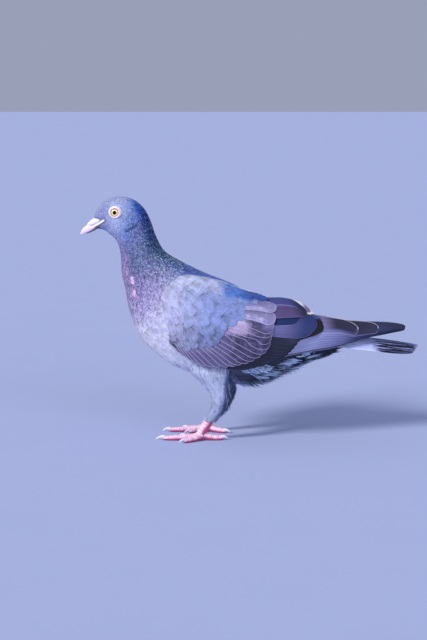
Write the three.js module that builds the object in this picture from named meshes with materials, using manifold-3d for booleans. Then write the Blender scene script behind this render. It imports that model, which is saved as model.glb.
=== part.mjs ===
// A rock pigeon, life size, standing still with its neck raised and both feet flat on the floor.
// Millimetres. The bird faces -Y, its left side is +X, and the floor is Z = 0 under the middle of its box.
import * as THREE from "three";
import { mergeVertices } from "three/addons/utils/BufferGeometryUtils.js";
import Module from "manifold-3d";

const wasm = await Module();
wasm.setup();

// ---- driving dimensions ----

const GAP = 0.3; // clear space between touching pieces
const EYE = { y: -118.6, z: 201.5, apex: 12.2, ball: 6.4, opening: 3.7, back: 8.0, toe_in: 8 };
const ORBIT = { outer: 5.9, crest: 11.9, back: 8.6 };
const WING = { curl: 5, mid: 0.45, arm_thick: 5.2, hand_thick: 2.6, edge_thick: 1.6 };
const TAIL = { root: 44, tip: 150.5, root_half: 11, tip_half: 25, root_z: 91.5, tip_z: 81.3, roof: 9, thick: 3 };
const FOOT = { x: 19, y: -40.3, stagger: 2.1, pad: 5.0, pad_height: 7, toe_thick: 2.75, toe_slim: 0.88 };
const CLAW = { thick: 1.35, turn: 1.25 };

// Sections through the plumage from the bill's base to the coverts under the tail. Each is a plane across the
// body between a point on the back and a point on the belly, with its half width. egg lowers its widest level.
const BODY = [
  { at: "bill base", back: [-138.0, 196.6], belly: [-135.4, 186.8], half: 4.3, egg: 0 },
  { at: "forehead", back: [-134.8, 204.1], belly: [-132.3, 186.4], half: 6.5, egg: -0.02 },
  { at: "brow", back: [-129.4, 210.2], belly: [-127.9, 185.1], half: 8.7, egg: 0 },
  { at: "front crown", back: [-122.8, 213.8], belly: [-123.5, 181.5], half: 10.8, egg: 0 },
  { at: "crown", back: [-113.1, 215.0], belly: [-119.1, 177.5], half: 12.0, egg: 0 },
  { at: "hind crown", back: [-102.5, 212.0], belly: [-116.5, 172.2], half: 12.3, egg: 0 },
  { at: "nape", back: [-93.8, 204.5], belly: [-114.9, 166.0], half: 12.8, egg: 0 },
  { at: "upper neck", back: [-88.1, 193.5], belly: [-114.2, 157.1], half: 14.6, egg: 0 },
  { at: "middle neck", back: [-83.3, 179.8], belly: [-113.6, 146.4], half: 18.0, egg: -0.04 },
  { at: "lower neck", back: [-75.4, 166.4], belly: [-110.6, 133.9], half: 24.5, egg: -0.1 },
  { at: "shoulder", back: [-59.5, 156.7], belly: [-106.3, 112.4], half: 34.0, egg: -0.12 },
  { at: "breast", back: [-40.0, 147.3], belly: [-95.7, 88.4], half: 40.0, egg: -0.06 },
  { at: "middle", back: [-16.0, 137.5], belly: [-69.8, 66.4], half: 41.5, egg: -0.04 },
  { at: "loin", back: [7.1, 125.0], belly: [-31.1, 53.8], half: 38.0, egg: -0.08 },
  { at: "rump", back: [28.5, 113.5], belly: [4.7, 48.8], half: 30.0, egg: -0.12 },
  { at: "tail base", back: [47.2, 102.5], belly: [38.0, 62.5], half: 21.0, egg: -0.05 },
  { at: "vent coverts", back: [68.0, 95.5], belly: [66.0, 73.5], half: 14.5, egg: 0 },
  { at: "covert tips", back: [90.0, 91.5], belly: [92.0, 81.0], half: 9.0, egg: 0 },
];
const HEAD_END = 6; // the head's last section, the nape
const NECK_END = 9.5; // between the lower neck and the shoulder
const TRUNK_END = 15; // the tail base
const BODY_END = BODY.length - 1;

// The folded wing's outer face, station by station along Y: its top line, its lower edge, its greatest half
// width and how far its inner edge lies from the middle.
const HULL = [
  { y: -92, top: 136, low: 112, half: 32, inner: 22 },
  { y: -75, top: 145, low: 96, half: 39.5, inner: 20 },
  { y: -55, top: 148, low: 77.5, half: 45, inner: 18 },
  { y: -30, top: 142.5, low: 69.5, half: 47, inner: 14 },
  { y: -5, top: 133, low: 67.5, half: 46.5, inner: 9 },
  { y: 15, top: 128, low: 72, half: 42.5, inner: 4 },
  { y: 30, top: 126, low: 75.5, half: 38, inner: 1.5 },
  { y: 45, top: 122, low: 77.5, half: 33.5, inner: 1 },
  { y: 58, top: 113, low: 79.5, half: 30, inner: 1.5 },
  { y: 75, top: 108.5, low: 83, half: 26, inner: 3 },
  { y: 96, top: 106, low: 89, half: 22.5, inner: 5 },
  { y: 115, top: 104.5, low: 94, half: 20, inner: 7 },
  { y: 130, top: 103, low: 97.5, half: 17.5, inner: 9 },
  { y: 140, top: 101.5, low: 98.5, half: 15, inner: 11 },
];

// The edges of the arm (coverts, secondaries) and of the hand (primaries) as Y at five levels from the top
// line of the wing down to its lower edge.
const ARM_FRONT = [-62, -74, -80, -80, -77];
const ARM_REAR = [60, 63, 52, 36, 18];
const HAND_TIP = [129, 134, 136, 134.5, 129];

// The bill's halves as sections like the body's: upper edge, lower edge and half width. Both start at the
// corners of the mouth, inside the face.
const UPPER_BILL = [
  { back: [-128.9, 194.9], belly: [-129.3, 193.4], half: 8.6 },
  { back: [-131.6, 193.9], belly: [-132.0, 191.6], half: 7.1 },
  { back: [-135.0, 193.6], belly: [-134.5, 189.8], half: 5.2 },
  { back: [-138.9, 192.7], belly: [-137.4, 187.0], half: 4.0 },
  { back: [-143.3, 190.3], belly: [-141.4, 184.9], half: 3.0 },
  { back: [-146.4, 188.5], belly: [-144.9, 183.4], half: 2.2 },
  { back: [-148.7, 186.1], belly: [-147.6, 182.3], half: 1.5 },
  { back: [-150.2, 183.0], belly: [-149.6, 181.1], half: 0.8 },
];
const LOWER_BILL = [
  { back: [-131.0, 190.9], belly: [-133.0, 187.2], half: 4.6 },
  { back: [-134.6, 188.6], belly: [-135.6, 186.3], half: 3.9 },
  { back: [-137.9, 186.0], belly: [-138.4, 184.5], half: 3.2 },
  { back: [-141.6, 184.3], belly: [-141.8, 183.0], half: 2.5 },
  { back: [-145.0, 183.0], belly: [-145.1, 182.0], half: 1.7 },
  { back: [-147.6, 182.0], belly: [-147.7, 181.3], half: 0.9 },
];

// Each half of the cere, from behind the nostril to the front: centre of a round section and its radius.
const CERE = [
  { y: -134.5, z: 194.3, r: 0.7, x: 2.0 },
  { y: -135.6, z: 194.1, r: 2.2, x: 2.0 },
  { y: -137.7, z: 193.4, r: 3.0, x: 2.0 },
  { y: -139.9, z: 192.2, r: 2.6, x: 1.9 },
  { y: -142.0, z: 191.1, r: 1.7, x: 1.5 },
  { y: -143.6, z: 190.4, r: 0.6, x: 1.1 },
];

// The feathered leg from inside the flank to the middle of the tarsus: centre, half depth and half width.
const THIGH = [
  { y: -31.0, z: 76, depth: 20, width: 12, x: 20 },
  { y: -31.5, z: 62, depth: 19, width: 13.5, x: 20 },
  { y: -29.2, z: 55, depth: 15, width: 11.5, x: 20 },
  { y: -26.6, z: 48, depth: 11.2, width: 9, x: 20 },
  { y: -24.1, z: 40, depth: 8.8, width: 7, x: 20 },
  { y: -24.4, z: 33, depth: 7.8, width: 6.2, x: 19.6 },
  { y: -27.0, z: 27, depth: 7.0, width: 5.6, x: 19.3 },
  { y: -31.0, z: 21.5, depth: 5.6, width: 4.9, x: 19.1 },
  { y: -34.0, z: 17.5, depth: 4.6, width: 4.3, x: 19 },
];
const SHANK = [
  { y: -32.4, z: 19.8, depth: 3.7, width: 3.1, x: 19 },
  { y: -35.3, z: 15.6, depth: 3.8, width: 3.1, x: 19 },
  { y: -38.3, z: 10.5, depth: 3.6, width: 3.0, x: 19 },
  { y: -40.2, z: 5.0, depth: 3.3, width: 3.1, x: 19 },
];

// Toes of each foot: heading away from straight ahead, positive outwards, reach of the skin from the middle
// of the foot, and length of the claw.
const TOES = {
  left: [
    { name: "inner", heading: -25, reach: 19, claw: 6 },
    { name: "middle", heading: 0, reach: 35, claw: 8 },
    { name: "outer", heading: 38, reach: 21, claw: 6.5 },
    { name: "hind", heading: 183, reach: 18.5, claw: 5.5 },
  ],
  right: [
    { name: "inner", heading: -29, reach: 19, claw: 6 },
    { name: "middle", heading: -2, reach: 35, claw: 7 },
    { name: "outer", heading: 20, reach: 21, claw: 6.5 },
    { name: "hind", heading: 205, reach: 18.5, claw: 5.5 },
  ],
};

// ---- shape tools ----

// A Catmull-Rom curve through evenly spaced values, read at a fractional index.
function smooth(values, s) {
  const last = values.length - 1;
  const i = Math.min(Math.max(Math.floor(s), 0), last - 1);
  const t = s - i;
  const at = (k) => (k < 0 ? 2 * values[0] - values[1] : k > last ? 2 * values[last] - values[last - 1] : values[k]);
  const [a, b, c, d] = [at(i - 1), at(i), at(i + 1), at(i + 2)];
  return b + 0.5 * t * (c - a + t * (2 * a - 5 * b + 4 * c - d + t * (3 * (b - c) + d - a)));
}

// A table of stations read at a Y between them.
function station(table, key, y) {
  const ys = table.map((row) => row.y);
  const last = ys.length - 1;
  let i = 0;
  while (i < last - 1 && y > ys[i + 1]) i += 1;
  const t = (y - ys[i]) / (ys[i + 1] - ys[i]);
  return smooth(table.map((row) => row[key]), i + t);
}

// A geometry from points and triangles, turned so that its faces point outwards.
function closed(points, triangles) {
  let volume = 0;
  for (const [a, b, c] of triangles) volume += points[a].dot(points[b].clone().cross(points[c]));
  const faces = volume < 0 ? triangles.map(([a, b, c]) => [a, c, b]) : triangles;
  const geometry = new THREE.BufferGeometry().setFromPoints(points);
  geometry.setIndex(faces.flat());
  return geometry;
}

// A closed body through rings of equal count, with a flat fan over each end ring.
function loft(rings) {
  const n = rings[0].length;
  const points = rings.flat();
  const triangles = [];
  for (let r = 0; r + 1 < rings.length; r += 1)
    for (let k = 0; k < n; k += 1) {
      const [a, b] = [r * n + k, r * n + ((k + 1) % n)];
      triangles.push([a, b, b + n], [a, b + n, a + n]);
    }
  const first = points.push(middle(rings[0])) - 1;
  const last = points.push(middle(rings.at(-1))) - 1;
  const start = (rings.length - 1) * n;
  for (let k = 0; k < n; k += 1) {
    const next = (k + 1) % n;
    triangles.push([first, next, k], [last, start + k, start + next]);
  }
  return closed(points, triangles);
}

function middle(ring) {
  return ring.reduce((sum, p) => sum.add(p), new THREE.Vector3()).divideScalar(ring.length);
}

// A closed slab between two faces, each a function of (u, v) from 0 to 1.
function slab(outer, inner, nu, nv) {
  const points = [];
  const triangles = [];
  for (const face of [outer, inner])
    for (let i = 0; i <= nu; i += 1) for (let j = 0; j <= nv; j += 1) points.push(face(i / nu, j / nv));
  const id = (side, i, j) => side * (nu + 1) * (nv + 1) + i * (nv + 1) + j;
  const quad = (a, b, c, d) => triangles.push([a, b, c], [a, c, d]);
  for (let i = 0; i < nu; i += 1)
    for (let j = 0; j < nv; j += 1) {
      quad(id(0, i, j), id(0, i + 1, j), id(0, i + 1, j + 1), id(0, i, j + 1));
      quad(id(1, i, j), id(1, i, j + 1), id(1, i + 1, j + 1), id(1, i + 1, j));
    }
  for (let i = 0; i < nu; i += 1) {
    quad(id(0, i, 0), id(1, i, 0), id(1, i + 1, 0), id(0, i + 1, 0));
    quad(id(0, i, nv), id(0, i + 1, nv), id(1, i + 1, nv), id(1, i, nv));
  }
  for (let j = 0; j < nv; j += 1) {
    quad(id(0, 0, j), id(0, 0, j + 1), id(1, 0, j + 1), id(1, 0, j));
    quad(id(0, nu, j), id(1, nu, j), id(1, nu, j + 1), id(0, nu, j + 1));
  }
  return closed(points, triangles);
}

// An elliptical ring round a centre, from two half axes given as vectors.
function ring(centre, across, up, n, egg = 0) {
  return Array.from({ length: n }, (_, k) => {
    const a = (2 * Math.PI * k) / n;
    const level = Math.cos(a) + egg * Math.sin(a) ** 2;
    return centre.clone().addScaledVector(across, Math.sin(a)).addScaledVector(up, level);
  });
}

const solid = (geometry) => {
  const bare = mergeVertices(new THREE.BufferGeometry()
    .setAttribute("position", geometry.getAttribute("position")).setIndex(geometry.index), 1e-4);
  const vertProperties = bare.attributes.position.array;
  return new wasm.Manifold(new wasm.Mesh({ numProp: 3, vertProperties, triVerts: new Uint32Array(bare.index.array) }));
};

const geometryOf = (manifold) => {
  const { vertProperties, triVerts } = manifold.getMesh();
  return new THREE.BufferGeometry()
    .setAttribute("position", new THREE.BufferAttribute(new Float32Array(vertProperties), 3))
    .setIndex(new THREE.BufferAttribute(new Uint32Array(triVerts), 1));
};

// What is left of a geometry when the tools are taken out of it: its largest body.
function cut(geometry, ...tools) {
  const left = tools.reduce((made, tool) => made.subtract(solid(tool)), solid(geometry));
  const bodies = left.decompose().sort((a, b) => b.volume() - a.volume());
  return geometryOf(bodies[0]);
}

function join(...geometries) {
  return geometryOf(geometries.map(solid).reduce((made, piece) => made.add(piece)));
}

function mirrored(geometry) {
  const copy = geometry.clone().applyMatrix4(new THREE.Matrix4().makeScale(-1, 1, 1));
  const index = Array.from(copy.index.array);
  for (let i = 0; i < index.length; i += 3) [index[i + 1], index[i + 2]] = [index[i + 2], index[i + 1]];
  return copy.setIndex(index);
}

// ---- body ----

// Sections of a table of back and belly points, lofted between two of its indices. grow makes it fatter.
function sections(table, from, to, steps, n, grow = 0) {
  const read = (s, key, k) => smooth(table.map((row) => (k === undefined ? (row[key] ?? 0) : row[key][k])), s);
  return loft(Array.from({ length: steps + 1 }, (_, i) => {
    const s = from + ((to - from) * i) / steps;
    const back = new THREE.Vector3(0, read(s, "back", 0), read(s, "back", 1));
    const belly = new THREE.Vector3(0, read(s, "belly", 0), read(s, "belly", 1));
    const up = back.clone().sub(belly).divideScalar(2);
    const centre = back.clone().add(belly).divideScalar(2);
    up.setLength(up.length() + grow);
    const across = new THREE.Vector3(read(s, "half") + grow, 0, 0);
    return ring(centre, across, up, n, read(s, "egg"));
  }));
}

const SLIT = 0.02; // of a section's spacing, which is about 0.3 mm
const wholeHead = () => sections(BODY, 0, HEAD_END - SLIT, 12, 20);
const neck = () => sections(BODY, HEAD_END, NECK_END - SLIT, 7, 22);
const wholeTrunk = (grow = 0) => sections(BODY, NECK_END, TRUNK_END - SLIT, 12, 22, grow);
const tailCoverts = () => sections(BODY, TRUNK_END, BODY_END, 4, 14);

// ---- wings ----

// A point on the folded wing's outer face. level runs from 0 on the top line to 1 on the lower edge: a quarter
// of an ellipse down to the widest level, then a flank that curls in a little.
function hull(y, level) {
  const [top, low, half, inner] = ["top", "low", "half", "inner"].map((key) => station(HULL, key, y));
  const mid = low + WING.mid * (top - low);
  const a = level * Math.PI;
  if (level <= 0.5)
    return new THREE.Vector3(inner + (half - inner) * Math.sin(a), y, mid + (top - mid) * Math.cos(a));
  const b = 2 * level - 1;
  const curl = WING.curl * Math.min(1, half / HULL[3].half);
  return new THREE.Vector3(half - curl * b * b, y, mid + (low - mid) * b);
}

function hullNormal(y, level) {
  const d = 0.02;
  const l = Math.min(Math.max(level, d), 1 - d);
  const along = hull(y + 1, l).sub(hull(y - 1, l));
  const down = hull(y, l + d).sub(hull(y, l - d));
  return along.cross(down).normalize().negate();
}

// A slab of the wing between two edges, each a Y for five levels. It is thinnest at its rim.
function wingSlab(front, rear, thick, nu, nv, { grow = 0, proud = 0 } = {}) {
  const place = (u, v) => {
    const level = v * (1 + grow / 60) - grow / 120;
    const from = smooth(front, 4 * v) - grow;
    const to = smooth(rear, 4 * v) + grow;
    return [from + (to - from) * u, Math.max(level, 0)];
  };
  const depth = (u, v) => {
    const bulge = (1 - (2 * u - 1) ** 4) * (1 - (2 * v - 1) ** 4);
    return WING.edge_thick + (thick - WING.edge_thick) * bulge;
  };
  const face = (out) => (u, v) => {
    const [y, level] = place(u, v);
    return hull(y, level).addScaledVector(hullNormal(y, level), out(u, v));
  };
  return slab(face(() => proud), face((u, v) => -depth(u, v) - grow), nu, nv);
}

const ARM_GRID = [12, 8];
const HAND_GRID = [8, 8];
const leftArm = () => wingSlab(ARM_FRONT, ARM_REAR, WING.arm_thick, ...ARM_GRID);
const armPocket = () => wingSlab(ARM_FRONT, ARM_REAR, WING.arm_thick, ...ARM_GRID, { grow: GAP + 0.1, proud: 14 });
const HAND_FRONT = ARM_REAR.map((y) => y + GAP + 0.2);
const leftHand = () => wingSlab(HAND_FRONT, HAND_TIP, WING.hand_thick, ...HAND_GRID);
const handPocket = () => wingSlab(HAND_FRONT, HAND_TIP, WING.hand_thick, ...HAND_GRID, { grow: GAP + 0.1, proud: 14 });

// ---- tail ----

// Twelve tail feathers folded into one fan: a slab that widens to its tip, whose edges hang a little.
function tailFan(grow = 0) {
  const face = (side) => (u, v) => {
    const w = 2 * v - 1;
    const reach = TAIL.tip - TAIL.root - 5 * w ** 4;
    const half = TAIL.root_half + (TAIL.tip_half - TAIL.root_half) * u ** 0.8;
    const mid = TAIL.root_z + (TAIL.tip_z - TAIL.root_z) * u * u - TAIL.roof * w * w * (1 - 0.55 * u * u);
    const thick = TAIL.thick * (1 - 0.45 * u) * (1 - 0.4 * w ** 4) + 2 * grow;
    return new THREE.Vector3((half + grow) * w, TAIL.root - grow + (reach + grow) * u, mid + (side * thick) / 2);
  };
  return slab(face(1), face(-1), 7, 10);
}

// ---- head pieces ----

// A body turned round the left eye's axis from [radius, X] pairs, with the axis toed in towards the bill.
function roundEye(profile, n) {
  const points = profile.map(([r, x]) => new THREE.Vector2(Math.max(r, 0), x - EYE.back));
  const turned = new THREE.LatheGeometry(points, n);
  turned.deleteAttribute("normal");
  turned.deleteAttribute("uv");
  const merged = mergeVertices(turned, 1e-4);
  const place = new THREE.Matrix4().makeTranslation(EYE.back, EYE.y, EYE.z);
  const axis = new THREE.Matrix4().makeRotationZ(-Math.PI / 2 - THREE.MathUtils.degToRad(EYE.toe_in));
  merged.applyMatrix4(place.multiply(axis));
  const at = merged.attributes.position;
  const points3 = Array.from({ length: at.count }, (_, i) => new THREE.Vector3().fromBufferAttribute(at, i));
  const faces = [];
  for (let i = 0; i < merged.index.count; i += 3) {
    const f = [0, 1, 2].map((k) => merged.index.getX(i + k));
    if (new Set(f).size === 3) faces.push(f);
  }
  return closed(points3, faces);
}

const eyeBall = () => {
  const reach = Math.asin(EYE.opening / EYE.ball);
  const dome = [0, 0.35, 0.7, 1].map((t) => [
    EYE.ball * Math.sin(reach * t),
    EYE.apex - EYE.ball * (1 - Math.cos(reach * t)),
  ]);
  return roundEye([...dome, [EYE.opening, EYE.back], [0, EYE.back]], 14);
};

const orbitRing = () => {
  const inside = EYE.opening + GAP;
  return roundEye([
    [inside, ORBIT.back],
    [inside, ORBIT.crest - 0.9],
    [inside + 0.6, ORBIT.crest - 0.1],
    [ORBIT.outer - 0.9, ORBIT.crest - 0.4],
    [ORBIT.outer, ORBIT.crest - 1.5],
    [ORBIT.outer, ORBIT.back],
    [inside, ORBIT.back],
  ], 14);
};

const eyeSocket = () => roundEye([
  [0, EYE.back - GAP],
  [ORBIT.outer + GAP, EYE.back - GAP],
  [ORBIT.outer + GAP, ORBIT.crest + 6],
  [0, ORBIT.crest + 6],
], 14);

// The soft white cere over the nostrils: two swellings side by side, each drawn out to a point in front.
function cere(grow = 0) {
  const rows = CERE.map(({ r, ...at }) => ({ ...at, depth: r, width: 0.72 * r }));
  const half = limb(rows, 6, 9, grow);
  return join(half, mirrored(half));
}

const upperBill = (grow = 0) => sections(UPPER_BILL, 0, UPPER_BILL.length - 1, 8, 10, grow);
const lowerBill = (grow = 0) => sections(LOWER_BILL, 0, LOWER_BILL.length - 1, 6, 8, grow);

// ---- legs ----

// A limb through stations that each give a centre, a half depth along the body and a half width across it.
// Its sections stand across the limb, or lie level.
function limb(rows, steps, n, grow = 0, level = false) {
  const read = (key, s) => smooth(rows.map((row) => row[key]), s);
  const centre = (s) => new THREE.Vector3(read("x", s), read("y", s), read("z", s));
  const last = rows.length - 1;
  return loft(Array.from({ length: steps + 1 }, (_, i) => {
    const s = (last * i) / steps;
    const along = centre(Math.min(s + 0.1, last)).sub(centre(Math.max(s - 0.1, 0))).normalize();
    const across = new THREE.Vector3(1, 0, 0);
    const deep = level ? new THREE.Vector3(0, 1, 0) : across.clone().cross(along).normalize();
    across.setLength(read("width", s) + grow);
    deep.setLength(read("depth", s) + grow);
    return ring(centre(s), across, deep, n);
  }));
}

// Points below the floor are raised to it, which makes the small flats that a foot stands on.
function onFloor(geometry) {
  const at = geometry.attributes.position;
  for (let i = 0; i < at.count; i += 1) at.setZ(i, Math.max(at.getZ(i), 0));
  return geometry;
}

const thigh = () => limb(THIGH, 8, 11, 0, true);

// The bare shank with the pad where the toes meet.
function shank(grow = 0) {
  const pad = loft([0, 1, 2, 3].map((i) => {
    const r = (FOOT.pad + grow) * [0.82, 1, 0.86, 0.5][i];
    const centre = new THREE.Vector3(FOOT.x, FOOT.y, -grow + (i / 3) * (FOOT.pad_height + 2 * grow));
    return ring(centre, new THREE.Vector3(r, 0, 0), new THREE.Vector3(0, r, 0), 12);
  }));
  return join(limb(SHANK, 3, 10, grow), pad);
}

const headingOf = ({ heading }) => {
  const a = THREE.MathUtils.degToRad(heading);
  return new THREE.Vector3(Math.sin(a), -Math.cos(a), 0);
};

// A toe: a tapering rod with soft swellings under its joints, flat where it meets the floor.
function toe(spec, grow = 0) {
  const along = headingOf(spec);
  const across = new THREE.Vector3(-along.y, along.x, 0);
  const start = FOOT.pad * 0.6;
  const length = spec.reach - start;
  const rings = Array.from({ length: 7 }, (_, i) => {
    const t = i / 6;
    const r = FOOT.toe_thick * (1 - 0.12 * t) * (1 + 0.06 * Math.cos(6 * Math.PI * t)) * (i === 6 ? 0.72 : 1);
    const lift = r * 0.88 + 2.1 * (1 - t) ** 3;
    const centre = new THREE.Vector3(FOOT.x, FOOT.y, lift).addScaledVector(along, start + length * t);
    return ring(centre, across.clone().setLength(FOOT.toe_slim * r + grow), new THREE.Vector3(0, 0, r + grow), 10);
  });
  return grow ? loft(rings) : onFloor(loft(rings));
}

// A claw: a horn that leaves the top of the toe's end level, arches over and comes down almost to the floor.
function claw(spec) {
  const along = headingOf(spec);
  const across = new THREE.Vector3(-along.y, along.x, 0);
  const bend = spec.claw / CLAW.turn;
  const rings = Array.from({ length: 5 }, (_, i) => {
    const t = i / 4;
    const turn = t * CLAW.turn - 0.25;
    const r = CLAW.thick * (1 - 0.84 * t);
    const reach = spec.reach + GAP + bend * (Math.sin(turn) + Math.sin(0.25));
    const height = 3.4 - bend * (Math.cos(0.25) - Math.cos(turn));
    const centre = new THREE.Vector3(FOOT.x, FOOT.y, height).addScaledVector(along, reach);
    const ahead = along.clone().multiplyScalar(Math.cos(turn)).add(new THREE.Vector3(0, 0, -Math.sin(turn)));
    const up = across.clone().cross(ahead).normalize();
    return ring(centre, across.clone().multiplyScalar(r), up.multiplyScalar(r * 1.2), 8);
  });
  return onFloor(loft(rings));
}

// ---- the bird ----

const FINISH = {
  plumage: { color: "#8f97c4", roughness: 0.85, metalness: 0 },
  flight: { color: "#5d5a86", roughness: 0.7, metalness: 0 },
  horn: { color: "#e0d4ea", roughness: 0.5, metalness: 0 },
  bare_skin: { color: "#ee9fbf", roughness: 0.65, metalness: 0 },
  cere: { color: "#f4f0f8", roughness: 0.8, metalness: 0 },
  eye: { color: "#e8b850", roughness: 0.12, metalness: 0 },
  claw: { color: "#d9d2de", roughness: 0.4, metalness: 0 },
};
const materials = Object.fromEntries(
  Object.entries(FINISH).map(([name, look]) => [name, new THREE.MeshStandardMaterial({ name, ...look })]),
);

const bird = new THREE.Group();
const add = (name, geometry, finish) => {
  const mesh = new THREE.Mesh(geometry, materials[finish]);
  mesh.name = name;
  bird.add(mesh);
};
const addPair = (name, geometry, finish) => {
  add(`${name}_left`, geometry, finish);
  add(`${name}_right`, mirrored(geometry), finish);
};

const both = (geometry) => [geometry, mirrored(geometry)];

add("head", cut(wholeHead(), ...both(eyeSocket()), upperBill(GAP), lowerBill(GAP), cere(GAP)), "plumage");
add("neck", neck(), "plumage");
add("trunk", cut(wholeTrunk(), ...both(armPocket()), ...both(handPocket()), tailFan(GAP)), "plumage");
add("tail", cut(join(tailFan(), tailCoverts()), wholeTrunk(GAP), ...both(handPocket())), "flight");
add("bill_upper", cut(upperBill(), cere(GAP)), "horn");
add("bill_lower", cut(lowerBill(), upperBill(GAP)), "horn");
add("cere", cere(), "cere");
addPair("eye", eyeBall(), "eye");
addPair("orbit", orbitRing(), "cere");
addPair("wing", leftArm(), "plumage");
addPair("primaries", leftHand(), "flight");

// The left foot stands a little ahead of the right one.
for (const [side, facing] of [["left", -1], ["right", 1]]) {
  const place = (name, geometry, finish) => {
    const moved = geometry.clone().translate(0, facing * FOOT.stagger, 0);
    add(`${name}_${side}`, side === "left" ? moved : mirrored(moved), finish);
  };
  const trunk = wholeTrunk(GAP).translate(0, -facing * FOOT.stagger, 0);
  place("thigh", cut(thigh(), trunk, shank(GAP)), "plumage");
  place("shank", shank(), "bare_skin");
  for (const [index, spec] of TOES[side].entries()) {
    const beside = spec.name === "middle" ? [] : [toe(TOES[side][1], GAP)];
    place(`toe_${index + 1}_${spec.name}`, cut(toe(spec), shank(GAP), ...beside), "bare_skin");
    place(`claw_${index + 1}_${spec.name}`, claw(spec), "claw");
  }
}

export default bird;
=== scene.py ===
"""A life-size rock pigeon, standing: one skin under laid feathers, with bill, eyes and scaled feet.

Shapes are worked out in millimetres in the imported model's frame: the bird faces -Y, its left side is +X and
the floor is Z = 0. They become metres when a mesh is made.
"""

import bpy
import numpy as np
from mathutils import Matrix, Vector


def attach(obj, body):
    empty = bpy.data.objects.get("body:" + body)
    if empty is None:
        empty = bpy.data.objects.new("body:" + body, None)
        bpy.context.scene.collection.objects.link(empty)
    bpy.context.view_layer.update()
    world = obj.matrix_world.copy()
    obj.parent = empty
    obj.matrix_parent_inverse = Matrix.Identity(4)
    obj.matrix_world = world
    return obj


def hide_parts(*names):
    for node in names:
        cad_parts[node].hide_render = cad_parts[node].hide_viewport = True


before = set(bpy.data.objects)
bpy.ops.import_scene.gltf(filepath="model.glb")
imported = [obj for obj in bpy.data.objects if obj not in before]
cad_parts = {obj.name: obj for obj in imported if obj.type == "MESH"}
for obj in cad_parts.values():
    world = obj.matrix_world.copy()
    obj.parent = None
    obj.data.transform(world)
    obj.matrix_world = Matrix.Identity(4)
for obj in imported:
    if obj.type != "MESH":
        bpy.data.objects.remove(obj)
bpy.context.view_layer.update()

MM = 0.001
ATLAS_PATCH = 0.003  # the size of one feather's place on the map of its tract
rng = np.random.default_rng(7)

# ---- the bird's own sizes, as in the solids ----

# Sections through the body from the bill's base to the coverts under the tail: back point (Y, Z), belly
# point (Y, Z), half width, and how far the widest level lies below the middle.
BODY = np.array([
    [-138.0, 196.6, -135.4, 186.8, 4.3, 0],
    [-134.8, 204.1, -132.3, 186.4, 6.5, -0.02],
    [-129.4, 210.2, -127.9, 185.1, 8.7, 0],
    [-122.8, 213.8, -123.5, 181.5, 10.8, 0],
    [-113.1, 215.0, -119.1, 177.5, 12.0, 0],
    [-102.5, 212.0, -116.5, 172.2, 12.3, 0],
    [-93.8, 204.5, -114.9, 166.0, 12.8, 0],
    [-88.1, 193.5, -114.2, 157.1, 14.6, 0],
    [-83.3, 179.8, -113.6, 146.4, 18.0, -0.04],
    [-75.4, 166.4, -110.6, 133.9, 24.5, -0.1],
    [-59.5, 156.7, -106.3, 112.4, 34.0, -0.12],
    [-40.0, 147.3, -95.7, 88.4, 40.0, -0.06],
    [-16.0, 137.5, -69.8, 66.4, 41.5, -0.04],
    [7.1, 125.0, -31.1, 53.8, 38.0, -0.08],
    [28.5, 113.5, 4.7, 48.8, 30.0, -0.12],
    [47.2, 102.5, 38.0, 62.5, 21.0, -0.05],
    [68.0, 95.5, 66.0, 73.5, 14.5, 0],
    [90.0, 91.5, 92.0, 81.0, 9.0, 0],
])
BODY_END = len(BODY) - 1
# The coat's depth over the skin at the same sections.
COAT = np.array([0.5, 0.6, 0.7, 0.8, 0.8, 0.9, 1.1, 1.3, 1.6, 2.0, 2.4, 2.6, 2.6, 2.6, 2.6, 2.4, 2.0, 1.5])

# The folded wing's outer face along Y: top line, lower edge, half width, and the inner edge's distance from
# the middle of the back.
HULL_Y = np.array([-92, -75, -55, -30, -5, 15, 30, 45, 58, 75, 96, 115, 130, 140.0])
HULL = np.array([
    [136, 112, 32, 22],
    [145, 96, 39.5, 20],
    [148, 77.5, 45, 18],
    [142.5, 69.5, 47, 14],
    [133, 67.5, 46.5, 9],
    [128, 72, 42.5, 4],
    [126, 75.5, 38, 1.5],
    [122, 77.5, 33.5, 1],
    [113, 79.5, 30, 1.5],
    [108.5, 83, 26, 3],
    [106, 89, 22.5, 5],
    [104.5, 94, 20, 7],
    [103, 97.5, 17.5, 9],
    [101.5, 98.5, 15, 11],
])
# How high its widest level lies between edge and top line, and how far the flank curls in below that.
HULL_MID, HULL_CURL = 0.45, 5

# The left eye: its middle, how far out its front stands, the ball's radius, the iris's, and how far it turns
# forward; then the bare ring round it: its radius and how far out its crest stands.
EYE = dict(x=8.0, y=-118.6, z=201.5, apex=12.2, ball=6.4, opening=3.7, toe_in=np.radians(8))
ORBIT = dict(outer=6.1, crest=12.1)
# Where the toes of the left foot meet, how far each foot stands ahead or behind, the radius of the toes, the
# length of a plate, the radius of the claws, and the radians that a claw turns, in all and above level.
FOOT = dict(x=19, y=-40.3, stagger=2.1, toe=2.75, plate=1.75, claw=1.35, turn=1.25, rise=0.25)

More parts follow.
